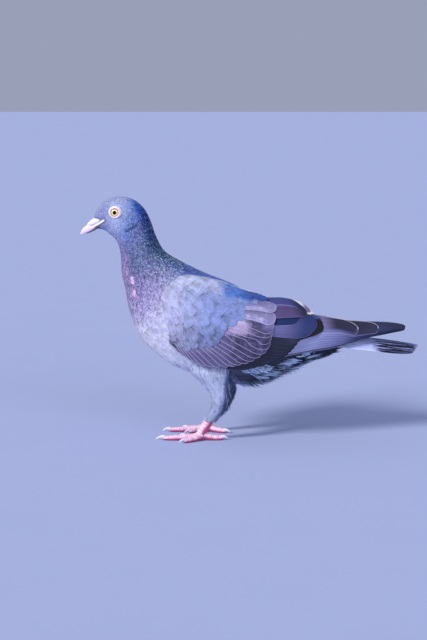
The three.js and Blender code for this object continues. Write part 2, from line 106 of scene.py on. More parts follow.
# Sections through each half of the bill from its root to its tip: upper point (Y, Z), lower point (Y, Z) and
# half width.
UPPER_BILL = np.array([
    [-128.9, 194.9, -129.3, 193.4, 8.6],
    [-131.6, 193.9, -132.0, 191.6, 7.1],
    [-135.0, 193.6, -134.5, 189.8, 5.2],
    [-138.9, 192.7, -137.4, 186.7, 4.0],
    [-143.3, 190.3, -141.4, 184.3, 3.0],
    [-146.4, 188.4, -144.9, 182.8, 2.2],
    [-148.7, 185.9, -147.7, 181.9, 1.4],
    [-150.2, 183.0, -149.6, 181.1, 0.8],
])
LOWER_BILL = np.array([
    [-131.0, 192.0, -133.0, 187.2, 4.6],
    [-134.4, 189.9, -135.6, 186.3, 4.0],
    [-137.6, 187.2, -138.3, 184.6, 3.3],
    [-140.9, 185.4, -141.3, 183.3, 2.4],
    [-143.6, 184.0, -143.8, 182.6, 1.5],
    [-145.4, 183.1, -145.5, 182.3, 0.7],
])
# The cere's sections: Y, Z, half height, half width.
CERE = np.array([
    [-131.5, 194.7, 0.7, 5.0],
    [-133.6, 194.3, 2.2, 6.8],
    [-136.3, 193.3, 3.2, 6.3],
    [-139.2, 192.1, 3.0, 5.0],
    [-142.0, 190.9, 1.9, 3.4],
    [-144.0, 190.2, 0.5, 1.4],
])
# The middle of the cere and of the nostril's slit, seen from the side: Y, Z.
CERE_MIDDLE, NOSTRIL = (-135.2, 193.4), (-140.2, 189.6)
# The bare strip at the corner of the mouth: Y, Z, half height.
GAPE = np.array([[-137.6, 188.9, 0.7], [-134.8, 190.5, 0.9], [-132.0, 192.3, 1.0], [-129.4, 194.0, 1.0],
                 [-128.2, 194.6, 0.7]])
# The feathered leg: Y, Z, half depth, half width, X of the middle.
THIGH = np.array([
    [-31.0, 76, 20, 12, 20],
    [-31.5, 62, 19, 13.5, 20],
    [-29.2, 55, 15, 11.5, 20],
    [-26.6, 48, 11.2, 9, 20],
    [-24.1, 40, 8.8, 7, 20],
    [-24.4, 33, 7.8, 6.2, 19.6],
    [-27.0, 27, 7.0, 5.6, 19.3],
    [-31.0, 21.5, 5.6, 4.9, 19.1],
    [-34.0, 17.5, 4.6, 4.3, 19],
])
SHANK = np.array([
    [-31.0, 21.0, 3.1, 2.7, 19],
    [-34.8, 15.8, 3.6, 3.1, 19],
    [-38.9, 10.5, 3.9, 3.3, 19],
    [-41.9, 5.4, 3.9, 3.6, 19],
    [-42.8, 3.0, 2.8, 3.0, 19],
])
# Toes: heading in degrees from straight ahead, outwards positive, reach of the skin, and claw length.
TOES = {
    "left": [(-25, 19, 6), (0, 35, 8), (38, 21, 6.5), (183, 18.5, 5.5)],
    "right": [(-29, 19, 6), (-2, 35, 7), (20, 21, 6.5), (205, 18.5, 5.5)],
}
TOE_NAMES = ["toe_1_inner", "toe_2_middle", "toe_3_outer", "toe_4_hind"]
CLAW_NAMES = ["claw_1_inner", "claw_2_middle", "claw_3_outer", "claw_4_hind"]
# The tail's fan: Y, half width and Z at its root and tip, and how far its sides hang below its middle.
TAIL = dict(root=44, tip=150.3, root_half=11, tip_half=25, root_z=91.5, tip_z=81.3, roof=9)


# ---- numbers and curves ----

def smooth(rows, s):
    """Catmull-Rom curve through evenly spaced rows, read at fractional index s; the ends run on straight."""
    rows = np.asarray(rows, float)
    held = np.concatenate([[2 * rows[0] - rows[1]], rows, [2 * rows[-1] - rows[-2]]])
    i = np.clip(np.floor(s).astype(int), 0, len(rows) - 2)
    t = np.asarray(s, float) - i
    t = t.reshape(t.shape + (1,) * (rows.ndim - 1))
    a, b, c, d = (held[i + k] for k in range(4))
    return b + 0.5 * t * (c - a + t * (2 * a - 5 * b + 4 * c - d + t * (3 * (b - c) + d - a)))


def ease(x, low, high):
    """0 below low, 1 above high, and a smooth S between; falls instead where low is over high."""
    t = np.clip((np.asarray(x, float) - low) / (high - low), 0, 1)
    return t * t * (3 - 2 * t)


def unit(v):
    return v / np.maximum(np.linalg.norm(v, axis=-1, keepdims=True), 1e-12)


def stations(count):
    """Places along a feather from 0 to 1, closer together towards its tip: 1 - (1 - t)^1.35."""
    return 1 - (1 - np.linspace(0, 1, count)) ** 1.35


def grid_quads(ids):
    """One face for each square of a grid of point numbers, turning from the first direction to the
    second."""
    return np.stack([ids[:-1, :-1], ids[1:, :-1], ids[1:, 1:], ids[:-1, 1:]], -1).reshape(-1, 4)


# ---- the surfaces that everything lies on: each is a function of two parameters, in mm ----

def body_shape(s, turn, inset=0.0, table=BODY):
    """A ring across the body at section s: from the middle, up times cos(a) + egg sin(a)^2 and sideways
    times sin(a), where a is the turn from the back over the left side. inset draws every radius in."""
    row = smooth(table, s)
    back, belly, half = row[..., 0:2], row[..., 2:4], row[..., 4]
    egg = row[..., 5] if table.shape[1] > 5 else 0
    up = (back - belly) / 2
    up = up * (1 - inset / np.linalg.norm(up, axis=-1))[..., None]
    a = 2 * np.pi * turn
    level = np.cos(a) + egg * np.sin(a) ** 2
    side = (back + belly) / 2 + up * level[..., None]
    return np.stack([(half - inset) * np.sin(a), side[..., 0], side[..., 1]], -1)


def hull_row(y):
    """The wing's outer face at Y: top line, lower edge, half width, inner edge."""
    i = np.clip(np.searchsorted(HULL_Y, y, side="right") - 1, 0, len(HULL_Y) - 2)
    return smooth(HULL, i + (y - HULL_Y[i]) / (HULL_Y[i + 1] - HULL_Y[i]))


def wing_shape(y, level):
    """The folded wing: a quarter of an ellipse from the top line (level 0) out to the widest place (0.5),
    then a flank that curls in with the square of the way down to the lower edge (1)."""
    top, low, half, inner = np.moveaxis(hull_row(y), -1, 0)
    mid = low + HULL_MID * (top - low)
    a = level * np.pi
    b = 2 * level - 1
    curl = HULL_CURL * np.minimum(1, half / HULL[:, 2].max())
    upper = level <= 0.5
    x = np.where(upper, inner + (half - inner) * np.sin(a), half - curl * b * b)
    z = np.where(upper, mid + (top - mid) * np.cos(a), mid + (low - mid) * b)
    return np.stack([x, y + 0 * x, z], -1)


def level_of(y, z):
    """The level on the wing of a height seen from the side."""
    top, low, _, _ = np.moveaxis(hull_row(np.asarray(y, float)), -1, 0)
    mid = low + HULL_MID * (top - low)
    over = np.arccos(np.clip((z - mid) / (top - mid), -1, 1)) / np.pi
    under = (1 + (z - mid) / (low - mid)) / 2
    return np.where(z > mid, over, under)


def thigh_shape(t, turn, inset=0.0):
    """The feathered leg: level ellipses from inside the flank down to the middle of the tarsus."""
    row = smooth(THIGH, t)
    a = 2 * np.pi * turn
    return np.stack([
        row[..., 4] + (row[..., 3] - inset) * np.sin(a),
        row[..., 0] + (row[..., 2] - inset) * np.cos(a),
        row[..., 1] + 0 * a,
    ], -1)


def tail_shape(u, v):
    """The fan of the tail: it widens with u^0.8 on the way u to the tip, falls with u^2, ends with rounded
    corners, shorter by 5 v^4, and hangs by roof v^2 (1 - 0.55 u^2) at its sides."""
    half = TAIL["root_half"] + (TAIL["tip_half"] - TAIL["root_half"]) * np.maximum(u, 0) ** 0.8
    reach = TAIL["tip"] - TAIL["root"] - 5 * v ** 4
    fall = (TAIL["tip_z"] - TAIL["root_z"]) * u * u
    z = TAIL["root_z"] + fall - TAIL["roof"] * v * v * (1 - 0.55 * u * u)
    return np.stack([half * v, TAIL["root"] + reach * u, z], -1)


class Surface:
    """A shape held as a fine grid of points with both slopes and the outward normal, read between grid
    points in proportion. The second parameter may run round from 1 to 0."""

    def __init__(self, shape, p_span, q_span, steps=(240, 160), wrap=False):
        self.low = np.array([p_span[0], q_span[0]], float)
        self.size = np.array([p_span[1] - p_span[0], q_span[1] - q_span[0]], float)
        self.steps, self.wrap = steps, wrap
        p, q = (np.linspace(*span, n) for span, n in ((p_span, steps[0]), (q_span, steps[1])))
        points = shape(*np.meshgrid(p, q, indexing="ij"))
        dp = np.gradient(points, p, axis=0)
        dq = np.gradient(points, q, axis=1)
        self.grid = np.concatenate([points, dp, dq, unit(np.cross(dq, dp))], -1)

    def at(self, place):
        """Points, slopes along both parameters and normals at an array of places."""
        x = (place - self.low) / self.size
        if self.wrap:
            x[..., 1] %= 1.0
        x = np.clip(x, 0, 1) * (np.array(self.steps) - 1)
        i = np.minimum(x.astype(int), np.array(self.steps) - 2)
        f = (x - i)[..., None]
        (i, j), (f, g) = (i[..., 0], i[..., 1]), (f[..., 0, :], f[..., 1, :])
        one = self.grid[i, j] * (1 - g) + self.grid[i, j + 1] * g
        two = self.grid[i + 1, j] * (1 - g) + self.grid[i + 1, j + 1] * g
        both = one * (1 - f) + two * f
        return both[..., 0:3], both[..., 3:6], both[..., 6:9], unit(both[..., 9:12])


body = Surface(body_shape, (0, BODY_END), (0, 1), (341, 181), wrap=True)
wing = Surface(wing_shape, (-92, 141), (-0.06, 1.06), (234, 169))
thigh = Surface(thigh_shape, (0, len(THIGH) - 1), (0, 1), (121, 73), wrap=True)
tail = Surface(tail_shape, (-0.02, 1.02), (-1.15, 1.15), (105, 93))


# ---- meshes ----

def mesh_object(name, points, faces, finish, layers=None, numbers=None, rim=None):
    """One piece from points in mm and faces, which are rows of three or four indices. layers are UV maps
    given for each face corner, numbers are values given for each point. An edge between two rim points is
    sharp."""
    mesh = bpy.data.meshes.new(name)
    groups = [f for f in (faces if isinstance(faces, list) else [faces]) if len(f)]
    loops = np.concatenate([f.ravel() for f in groups]).astype(np.int32)
    sizes = np.concatenate([np.full(len(f), f.shape[1]) for f in groups]).astype(np.int32)
    mesh.vertices.add(len(points))
    mesh.vertices.foreach_set("co", (np.asarray(points) * MM).astype(np.float32).ravel())
    mesh.loops.add(len(loops))
    mesh.loops.foreach_set("vertex_index", loops)
    mesh.polygons.add(len(sizes))
    mesh.polygons.foreach_set("loop_start", np.concatenate([[0], np.cumsum(sizes)[:-1]]).astype(np.int32))
    mesh.polygons.foreach_set("loop_total", sizes)
    mesh.polygons.foreach_set("use_smooth", np.full(len(sizes), True))
    for layer, values in (layers or {}).items():
        mesh.uv_layers.new(name=layer).data.foreach_set("uv", values.astype(np.float32).ravel())
    for key, values in (numbers or {}).items():
        mesh.attributes.new(key, "FLOAT", "POINT").data.foreach_set("value", np.asarray(values, np.float32))
    mesh.update(calc_edges=True)
    if rim is not None:
        ends = np.empty(2 * len(mesh.edges), np.int32)
        mesh.edges.foreach_get("vertices", ends)
        sharp = rim[ends.reshape(-1, 2)].all(1)
        mesh.attributes.new("sharp_edge", "BOOLEAN", "EDGE").data.foreach_set("value", sharp)
    mesh.validate()
    obj = bpy.data.objects.new(name, mesh)
    bpy.context.scene.collection.objects.link(obj)
    mesh.materials.append(finish.material)
    return obj


def mounted(obj, slot, *nodes):
    """The piece rides on the bird and stands for the named solids, which it hides from view; slot is not
    used.
    """
    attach(obj, "root")
    if nodes:
        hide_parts(*nodes)


def ring_grid(span, steps, around):
    """Both parameters of a tube's rings: steps of the first over span, around even turns of the second."""
    return np.meshgrid(np.linspace(*span, steps), np.arange(around) / around, indexing="ij")


def tube_faces(rings, around):
    """Faces of a closed tube of rings whose first and last points are single end points."""
    k = np.arange(around)
    nxt = (k + 1) % around
    r = np.arange(rings - 1)[:, None] * around + 1
    quads = np.stack([r + k, r + nxt, r + nxt + around, r + k + around], -1).reshape(-1, 4)
    last = rings * around + 1
    start = np.stack([0 * k, nxt + 1, k + 1], -1)
    end = np.stack([0 * k + last, last - around + k, last - around + nxt], -1)
    return quads, np.concatenate([start, end])


def closed_tube(rings):
    """Points and faces of a body through rings, shape (rings, around, 3), closed by a point at each end."""
    n, around, _ = rings.shape
    points = np.concatenate([rings[0].mean(0)[None], rings.reshape(-1, 3), rings[-1].mean(0)[None]])
    quads, ends = tube_faces(n, around)
    centre = rings.mean(1)
    ahead = centre[-1] - centre[0]
    first = rings[n // 2] - centre[n // 2]
    if np.dot(np.cross(first[0], first[around // 4]), ahead) < 0:
        quads, ends = quads[:, ::-1], ends[:, ::-1]
    return points, [quads, ends]


def capped(values):
    """Values at every point of a tube's rings, with those of its two end points added."""
    return np.concatenate([values[:1], values, values[-1:]])


def joined(parts):
    """Several sets of points and faces as one."""
    points, quads, tris, start = [], [], [], 0
    for p, faces in parts:
        points.append(p)
        for f in faces:
            (quads if f.shape[1] == 4 else tris).append(f + start)
        start += len(p)
    return np.concatenate(points), [np.concatenate(g) for g in (quads, tris) if g]


def mirrored(points, faces):
    """The same shape on the bird's other side, still facing outwards."""
    return points * [-1, 1, 1], [f[:, ::-1] for f in faces]


# ---- feathers ----

def tipped(a, peak, end, swell, power=2.0, root=0.5):
    """Width along a vane: swell up to its widest place, peak, then (1 - x^power)^root, where x is the way
    from there to an end just past the tip."""
    x = np.maximum(a - peak, 0) / (end - peak)
    return np.where(a < peak, swell, np.maximum(0, 1 - x ** power) ** root)


def oval(a):
    """Width of a rounded vane: a quick swell to the middle, then an elliptical tip."""
    return tipped(a, 0.58, 1.01, np.sin(np.pi / 2 * (0.3 + 0.7 * a / 0.58)))


def lobe(a):
    """Width of a covert: widest past the middle, then a broad round tip."""
    return tipped(a, 0.6, 1.004, np.sin(np.pi / 2 * (0.3 + 0.7 * a / 0.6)), 2.2, 0.45)


def blade(a):
    """Width of a flight feather: nearly even, then an elliptical tip over the last part."""
    return tipped(a, 0.8, 1.012, 0.72 + 0.28 * np.minimum(a / 0.8, 1))


def hackle(a):
    """Width of a neck feather: widest a little before the middle, then in to a soft point."""
    tip = np.cos(np.pi / 2 * ((a - 0.45) / 0.57)) ** 0.8
    return np.where(a < 0.45, 0.6 + 0.4 * np.sin(np.pi * a / 0.9), tip)


def wisp(a):
    """Width of a loose plume: widest early, drawn out to a point."""
    return np.sin(np.pi * np.clip(0.12 + 0.88 * a, 0, 1) ** 0.8) ** 0.8 * (1 - 0.35 * a) + 0.06


def vane_net(along, across):
    """The shared net of one closed vane: along and across values of its points, its faces, and how many of
    them are the upper ones. The underside uses the rim's points again and its own points inside the rim."""
    top = np.arange((along + 1) * (across + 1)).reshape(along + 1, across + 1)
    under = top.copy()
    under[1:-1, 1:-1] = top.size + np.arange((along - 1) * (across - 1)).reshape(along - 1, across - 1)
    faces = np.concatenate([grid_quads(top), grid_quads(under)[:, ::-1]])
    return stations(along + 1), np.linspace(-1, 1, across + 1), faces, along * across


def rise(depth, tip, along, power=2.2):
    """Height of feathers along their length: from depth under the coat's face up to tip over it, steep at
    the root and flat over its neighbours: -depth (1 - a)^power + tip a."""
    a = stations(along + 1)
    return -np.asarray(depth)[..., None] * (1 - a) ** power + np.asarray(tip)[..., None] * a


def shells(surface, place, height, thick, a, b, net, tops):
    """Closed vanes whose upper faces stand height over a surface at the given places; the underside follows
    thick below, thinning to nothing at the rim with 1 - b^2."""
    count = len(place)
    point, _, _, out = surface.at(place)
    top = point + out * height[..., None]
    under = top[:, 1:-1, 1:-1] - out[:, 1:-1, 1:-1] * (thick * (1 - b[1:-1] ** 2)[:, None])

    def flat(v):
        return v.reshape(count, -1, v.shape[-1])

    grid = np.stack(np.broadcast_arrays(a[:, None], b[None, :]), -1)
    rim = np.ones(grid.shape[:2], bool)
    rim[1:-1, 1:-1] = False
    local = np.concatenate([grid.reshape(-1, 2), grid[1:-1, 1:-1].reshape(-1, 2)])
    rim = np.concatenate([rim.ravel(), np.zeros(len(local) - rim.size, bool)])
    return dict(points=np.concatenate([flat(top), flat(under)], 1), net=net, tops=tops, local=local, rim=rim,
                place=np.concatenate([flat(place), flat(place[:, 1:-1, 1:-1])], 1))


def lay(surface, line, half, lift, profile=oval, across=2, thick=0.2, camber=0.1, tilt=0.0):
    """Closed vanes that follow a surface. line holds each vane's middle as places on the surface, shape
    (vanes, points along, 2); half its half width in mm; lift its height over the surface along the middle.
    Each point is the surface point sideways from the middle, raised by lift - camber b^2 + tilt b, where b
    is -1 to 1 across."""
    count, points_along, _ = line.shape
    a, b, net, tops = vane_net(points_along - 1, across)
    _, dp, dq, normal = surface.at(line)
    step = np.gradient(line, axis=1)
    ahead = unit(dp * step[..., :1] + dq * step[..., 1:])
    sideways = np.cross(normal, ahead)
    # the step in both parameters that goes 1 mm sideways, solved from the two slopes
    pp, pq, qq = (dp * dp).sum(-1), (dp * dq).sum(-1), (dq * dq).sum(-1)
    to_p, to_q = (sideways * dp).sum(-1), (sideways * dq).sum(-1)
    det = np.maximum(pp * qq - pq * pq, 1e-9)
    per_mm = np.stack([(qq * to_p - pq * to_q) / det, (pp * to_q - pq * to_p) / det], -1)
    each = [np.broadcast_to(np.asarray(v, float), (count,))[:, None, None] for v in (half, camber, tilt)]
    share = profile(a)[None, :, None]
    place = line[:, :, None] + (each[0] * share * b)[..., None] * per_mm[:, :, None]
    height = lift[:, :, None] + share * (each[2] * b - each[1] * b ** 2)
    return shells(surface, place, height, thick, a, b, net, tops)


def drawn(start, tip, low, high, ends, lift, along=24, across=8, thick=0.3, tilt=0.0):
    """Long vanes that run back along the wing. start is where each begins (Y), tip its end (Y, Z as seen
    from the side), low and high the levels of its edges as functions of Y. Over the last ends = (below,
    above) mm each edge draws in to the tip with sqrt(1 - (1 - d / end)^2), where d is the way left to the
    tip."""
    tip = np.asarray(tip, float)
    a, b, net, tops = vane_net(along, across)
    start = np.asarray(start, float).reshape(-1, 1)
    y = start + (tip[:, :1] - start) * a
    point = level_of(tip[:, :1], tip[:, 1:])
    edges = []
    for edge, end in zip((low(y), high(y)), ends):
        left = np.clip((tip[:, :1] - y) / np.asarray(end, float).reshape(-1, 1), 0.006, 1)
        edges.append(point + (edge - point) * np.sqrt(1 - (1 - left) ** 2))
    level = edges[0][..., None] * (1 - b) / 2 + edges[1][..., None] * (1 + b) / 2
    place = np.stack([y[..., None] + 0 * level, level], -1)
    return shells(wing, place, lift(y)[..., None] + tilt * b, thick, a, b, net, tops)


def edge_distances(tract):
    """For each point of large vanes, how far in mm it is from the vane's outline and from its lower edge."""
    rim = tract["rim"]
    lower_edge = rim & (tract["local"][:, 1] < -0.99)
    found = []
    for chosen in (rim & (tract["local"][:, 0] > 0.02), lower_edge):
        edge = tract["points"][:, chosen]
        found.append(np.linalg.norm(tract["points"][:, :, None] - edge[:, None], axis=-1).min(-1))
    return found


def own_patches(tract, span):
    """Where each small feather lies on the coat's map, and its patch there: its root's place on the surface,
    whose two parameters run over span, and the underside beside the face."""
    low, high, wrap = np.array(span[0], float), np.array(span[1], float), span[2]
    x = (tract["place"][:, 0] - low) / (high - low)
    if wrap:
        x[:, 1] = x[:, 1] % 1.0
    patch = tract["local"][tract["net"]] * [1, 0.5] * ATLAS_PATCH
    patch[tract["tops"]:, :, 0] += ATLAS_PATCH * 1.1
    return 0.01 + 0.97 * np.clip(x, 0, 1), patch


def own_strips(tract, done, whole):
    """The same for large feathers: each has a strip of the map, with its underside beside its face."""
    count = len(tract["points"])
    corner = tract["local"][tract["net"]]
    patch = np.stack([(0.25 + 0.22 * corner[..., 1]) / whole, 0.01 + 0.98 * corner[..., 0]], -1)
    patch[tract["tops"]:, :, 0] += 0.5 / whole
    return np.stack([(done + np.arange(count)) / whole, np.zeros(count)], -1), patch


def feather_piece(name, tracts, finish, span, slot, nodes=(), mirror=False, tones=None, marks=None):
    """One coat piece from tracts of vanes. Its maps are vane, along and across each feather, and OFBake,
    where each feather is a small patch at its root's place on the tract's own surface, or a strip where span
    is None. Its numbers are tone, one draw for each feather, along and round, the place in the body's
    markings, which marks may set, and on large feathers inset and lower, the distances from their edges."""
    keys = ("points", "faces", "rim", "OFBake", "vane", "tone", "along", "round", "inset", "lower")
    kept = {key: [] for key in keys}
    whole, done, start = sum(len(t["points"]) for t in tracts), 0, 0
    for index, t in enumerate(tracts):
        count, each, _ = t["points"].shape
        home, patch = own_strips(t, done, whole) if span is None else own_patches(t, span)
        spot = t["place"] if marks is None else marks(t["points"])
        new = {
            "points": t["points"].reshape(-1, 3),
            "faces": (t["net"] + start + each * np.arange(count)[:, None, None]).reshape(-1, 4),
            "rim": np.tile(t["rim"], count),
            "OFBake": (home[:, None, None, :] + patch).reshape(-1, 2),
            "vane": np.tile((t["local"][t["net"]] * [1, 0.5] + [0, 0.5]).reshape(-1, 2), (count, 1)),
            "tone": np.repeat(rng.random(count) if tones is None else tones[index], each),
            "along": spot[..., 0].ravel(),
            "round": spot[..., 1].ravel(),
        }
        if span is None:
            new["inset"], new["lower"] = (distance.ravel() for distance in edge_distances(t))
        for key, values in new.items():
            kept[key].append(values)
        start += count * each
        done += count
    made = {key: np.concatenate(values) for key, values in kept.items() if values}
    points, faces, rim = (made.pop(key) for key in keys[:3])
    maps = {key: made.pop(key) for key in keys[3:5]}
    if mirror:
        points, faces = points * [-1, 1, 1], faces[:, ::-1]
        maps = {key: uv.reshape(-1, 4, 2)[:, ::-1].reshape(-1, 2) for key, uv in maps.items()}
    mounted(mesh_object(name, points, faces, finish, maps, made, rim), slot, *nodes)


def straight(root, angle, length, surface, points_along):
    """Middle lines that leave each root at an angle from the first parameter's direction, for a length in
    mm."""
    _, dp, dq, _ = surface.at(root)
    along, aside = np.cos(angle) / np.linalg.norm(dp, axis=-1), np.sin(angle) / np.linalg.norm(dq, axis=-1)
    go = length[:, None] * np.stack([along, aside], -1)
    return root[:, None, :] + stations(points_along)[None, :, None] * go[:, None, :]


def rows_of_roots(surface, span, row_gap, side_gap):
    """Roots in staggered rows round a surface. row_gap and side_gap give spacings in mm at the first
    parameter. The row spacing opens and closes with the surface, so each root also carries its own gap to
    the next row."""
    roots, gaps, p, row = [], [], span[0], 0
    q_fine = np.linspace(0, 1, 90)
    while p < span[1]:
        _, dp, dq, _ = surface.at(np.stack([np.full(len(q_fine), p), q_fine], -1))
        slope = np.linalg.norm(dp, axis=-1)
        step = row_gap(p) / slope.mean()
        reach = np.linalg.norm(dq, axis=-1)
        length = np.concatenate([[0], np.cumsum((reach[1:] + reach[:-1]) / 2 * np.diff(q_fine))])
        n = max(3, int(round(length[-1] / side_gap(p))))
        marks = (np.arange(n) + 0.5 * (row % 2) + rng.uniform(-0.18, 0.18, n)) / n * length[-1]
        q = np.interp(marks % length[-1], length, q_fine)
        roots.append(np.stack([p + rng.uniform(-0.15, 0.15, n) * step, q], -1))
        gaps.append(np.interp(q, q_fine, slope) * step)
        p += step
        row += 1
    return np.concatenate(roots), np.concatenate(gaps)


# ---- finishes ----

def linear(colour):
    """A display colour of 0 to 255 as linear light."""
    c = np.array(colour, float) / 255
    return tuple(np.where(c <= 0.04045, c / 12.92, ((c + 0.055) / 1.055) ** 2.4)) + (1.0,)


class Value:
    """A number that varies over a surface: sums and products of it add the finish's Math nodes."""

    def __init__(self, finish, socket):
        self.finish, self.socket = finish, socket

    def math(self, operation, *others, clamp=False):
        return self.finish.node("ShaderNodeMath", {"operation": operation, "use_clamp": clamp},
                                dict(enumerate(others)))

    def __add__(self, other):
        return self.math("ADD", self, other)

    def __sub__(self, other):
        return self.math("SUBTRACT", self, other)

    def __rsub__(self, other):
        return self.math("SUBTRACT", other, self)

    def __mul__(self, other):
        return self.math("MULTIPLY", self, other)

    def __truediv__(self, other):
        return self.math("DIVIDE", self, other)

    def __pow__(self, other):
        return self.math("POWER", self, other)

    __radd__, __rmul__ = __add__, __mul__

    def abs(self):
        return self.math("ABSOLUTE", self)

    def sin(self):
        return self.math("SINE", self)

    def least(self, other):
        return self.math("MINIMUM", self, other)

    def most(self, other):
        return self.math("MAXIMUM", self, other)

    def between(self, low, high):
        """0 below low, 1 above high, smooth between; falls instead where low is over high."""
        return self.finish.node("ShaderNodeMapRange", {"interpolation_type": "SMOOTHSTEP"},
                                {"Value": self, "From Min": low, "From Max": high})


class Finish:
    """One material: a Principled shader and the nodes that feed it."""

    def __init__(self, name, **steady):
        self.material = bpy.data.materials.new(name)
        self.material.use_nodes = True
        self.tree = self.material.node_tree
        self.shader = self.tree.nodes["Principled BSDF"]
        self.set(**{"Specular_IOR_Level": 0.35, **steady})

    def set(self, **values):
        for key, value in values.items():
            self._fill(self.shader.inputs[key.replace("_", " ")], value)
        return self

    def _fill(self, socket, value):
        if isinstance(value, Value):
            self.tree.links.new(value.socket, socket)
        else:
            socket.default_value = value

    def node(self, kind, settings=None, inputs=None, out=0):
        """A node with its settings made first, then the values or links of its sockets."""
        node = self.tree.nodes.new(kind)
        for key, value in (settings or {}).items():
            if key == "stops":
                ramp = node.color_ramp
                for place, colour in value[1:-1]:
                    ramp.elements.new(place).color = colour
                for end in (0, -1):
                    ramp.elements[end].position, ramp.elements[end].color = value[end]
            else:
                setattr(node, key, value)
        for key, value in (inputs or {}).items():
            self._fill(node.inputs[key], value)
        return Value(self, node.outputs[out])

    def number(self, name):
        return self.node("ShaderNodeAttribute", {"attribute_name": name}, out=2)

    def vane(self):
        """Along a feather from root to tip, and across it from -1 to 1."""
        uv = self.node("ShaderNodeUVMap", {"uv_map": "vane"})
        parts = self.node("ShaderNodeSeparateXYZ", inputs={0: uv})
        return parts, Value(self, parts.socket.node.outputs[1]) * 2.0 - 1.0

    def place(self):
        """Object coordinates in mm."""
        where = self.node("ShaderNodeTexCoord", out=3)
        parts = self.node("ShaderNodeSeparateXYZ", inputs={0: where})
        return [Value(self, parts.socket.node.outputs[k]) * (1 / MM) for k in range(3)]

    def noise(self, scale, detail=2.0, rough=0.5):
        """Cloudy variation with a scale in features per metre of the object."""
        where = self.node("ShaderNodeTexCoord", out=3)
        return self.node("ShaderNodeTexNoise", inputs={"Vector": where, "Scale": scale, "Detail": detail,
                                                      "Roughness": rough})

    def cells(self, scale):
        """Small round cells with a scale in cells per metre."""
        where = self.node("ShaderNodeTexCoord", out=3)
        return self.node("ShaderNodeTexVoronoi", inputs={"Vector": where, "Scale": scale})

    def streaks(self, x, y, z, **more):
        """Noise between 0 and 1 on coordinates of its own, so that it can be drawn out one way."""
        where = self.node("ShaderNodeCombineXYZ", inputs={0: x, 1: y, 2: z})
        return self.node("ShaderNodeTexNoise", inputs={"Vector": where, "Scale": 1.0, **more})

    def blend(self, factor, one, two, way="MIX"):
        """Two colours mixed; numbers of 0 to 255 are taken as display colours."""
        one, two = (linear(c) if isinstance(c, tuple) and max(c) > 1.001 else c for c in (one, two))
        return self.node("ShaderNodeMix", {"data_type": "RGBA", "blend_type": way},
                         {0: factor, 6: one, 7: two}, out=2)

    def ramp(self, value, stops):
        """A run of display colours over a number, placed from 0 to 1."""
        made = [(place, linear(colour)) for place, colour in stops]
        return self.node("ShaderNodeValToRGB", {"stops": made}, {"Fac": value})

    def shaded(self, colour, amount):
        """A colour made lighter or darker by a number round 1."""
        grey = self.node("ShaderNodeCombineColor", inputs={0: amount, 1: amount, 2: amount})
        return self.blend(1.0, colour, grey, "MULTIPLY")

    def near(self, first, last, wide):
        """Seen from the side, 1 on the line between two places (Y, Z) in mm, and 0 from wide mm away."""
        _, y, z = self.place()
        run = [b - a for a, b in zip(first, last)]
        y, z = y - first[0], z - first[1]
        share = y.math("DIVIDE", y * run[0] + z * run[1], run[0] ** 2 + run[1] ** 2, clamp=True)
        y, z = y - share * run[0], z - share * run[1]
        return ((y * y + z * z) ** 0.5).between(wide, wide * 0.45)

    def bump(self, height, strength=0.4, distance=0.0004):
        self.set(Normal=self.node("ShaderNodeBump", inputs={"Strength": strength, "Distance": distance,
                                                            "Height": height}))
        return self


# Colours of the coat at sections from the bill (0) to the coverts under the tail (17), along three lines.
# On the back line the saturated deep blue of the nape (5.2 to 8) and of the mantle (11 to 13) is partly the
# bird's own dark blue-grey and partly painted shade.
BACK_LINE = [(0, (146, 152, 196)), (1.5, (160, 166, 206)), (4.2, (162, 169, 210)), (4.7, (122, 144, 206)),
             (5.2, (44, 92, 176)), (5.8, (18, 68, 158)), (6.5, (12, 50, 128)), (7.3, (12, 46, 112)),
             (8, (30, 60, 112)), (9, (48, 76, 126)), (10, (72, 86, 158)), (11, (84, 114, 192)),
             (12, (90, 134, 230)), (13, (90, 128, 214)), (14, (110, 132, 202)), (15, (132, 146, 206)),
             (17, (142, 154, 212))]
# The side line's dark end from 14 on is painted shade under the wing and tail, over the grey of flank and
# vent.
SIDE_LINE = [(0, (136, 142, 190)), (2, (146, 154, 204)), (3.8, (176, 188, 230)), (4.8, (138, 156, 208)),
             (5.5, (104, 130, 190)), (6.2, (102, 116, 174)), (7.2, (98, 106, 158)), (8, (88, 100, 146)),
             (9, (108, 108, 158)), (9.7, (146, 138, 190)), (10.3, (168, 164, 204)), (10.8, (202, 200, 232)),
             (12, (214, 215, 244)), (12.8, (204, 208, 240)), (13.2, (196, 202, 236)),
             (14, (110, 124, 168)), (15, (60, 74, 110)), (17, (92, 104, 146))]
# The belly line's dark end from 13.6 on is partly the vent's own grey and partly painted shade under the
# tail; its near-white from 10.6 to 12.6 is partly painted light on the underside.
BELLY_LINE = [(0, (140, 150, 206)), (3, (160, 172, 222)), (5, (138, 140, 198)), (6, (134, 130, 188)),
              (7, (148, 134, 190)), (8, (166, 144, 198)), (9, (164, 146, 198)), (10, (186, 178, 220)),
              (10.6, (228, 226, 248)), (11.2, (240, 238, 252)), (12, (232, 234, 250)),
              (12.6, (226, 230, 252)), (13, (196, 204, 236)), (13.6, (120, 134, 178)),
              (14.2, (66, 84, 126)), (15, (66, 84, 126)), (17, (84, 98, 142))]

# Pale spots on the left of the neck, as lines with a width and a strength, and painted shade in the fold
# behind the cheek.
SPOTS = [(((-108.6, 152.0), (-108.2, 148.8)), 1.6, 0.45), (((-103.6, 144.4), (-103.2, 141.4)), 2.5, 0.9),
         (((-102.4, 134.6), (-102.0, 130.6)), 2.2, 0.75)]
CHEEK_FOLD_SHADE = ((-108.0, 185.6), (-100.6, 190.4))


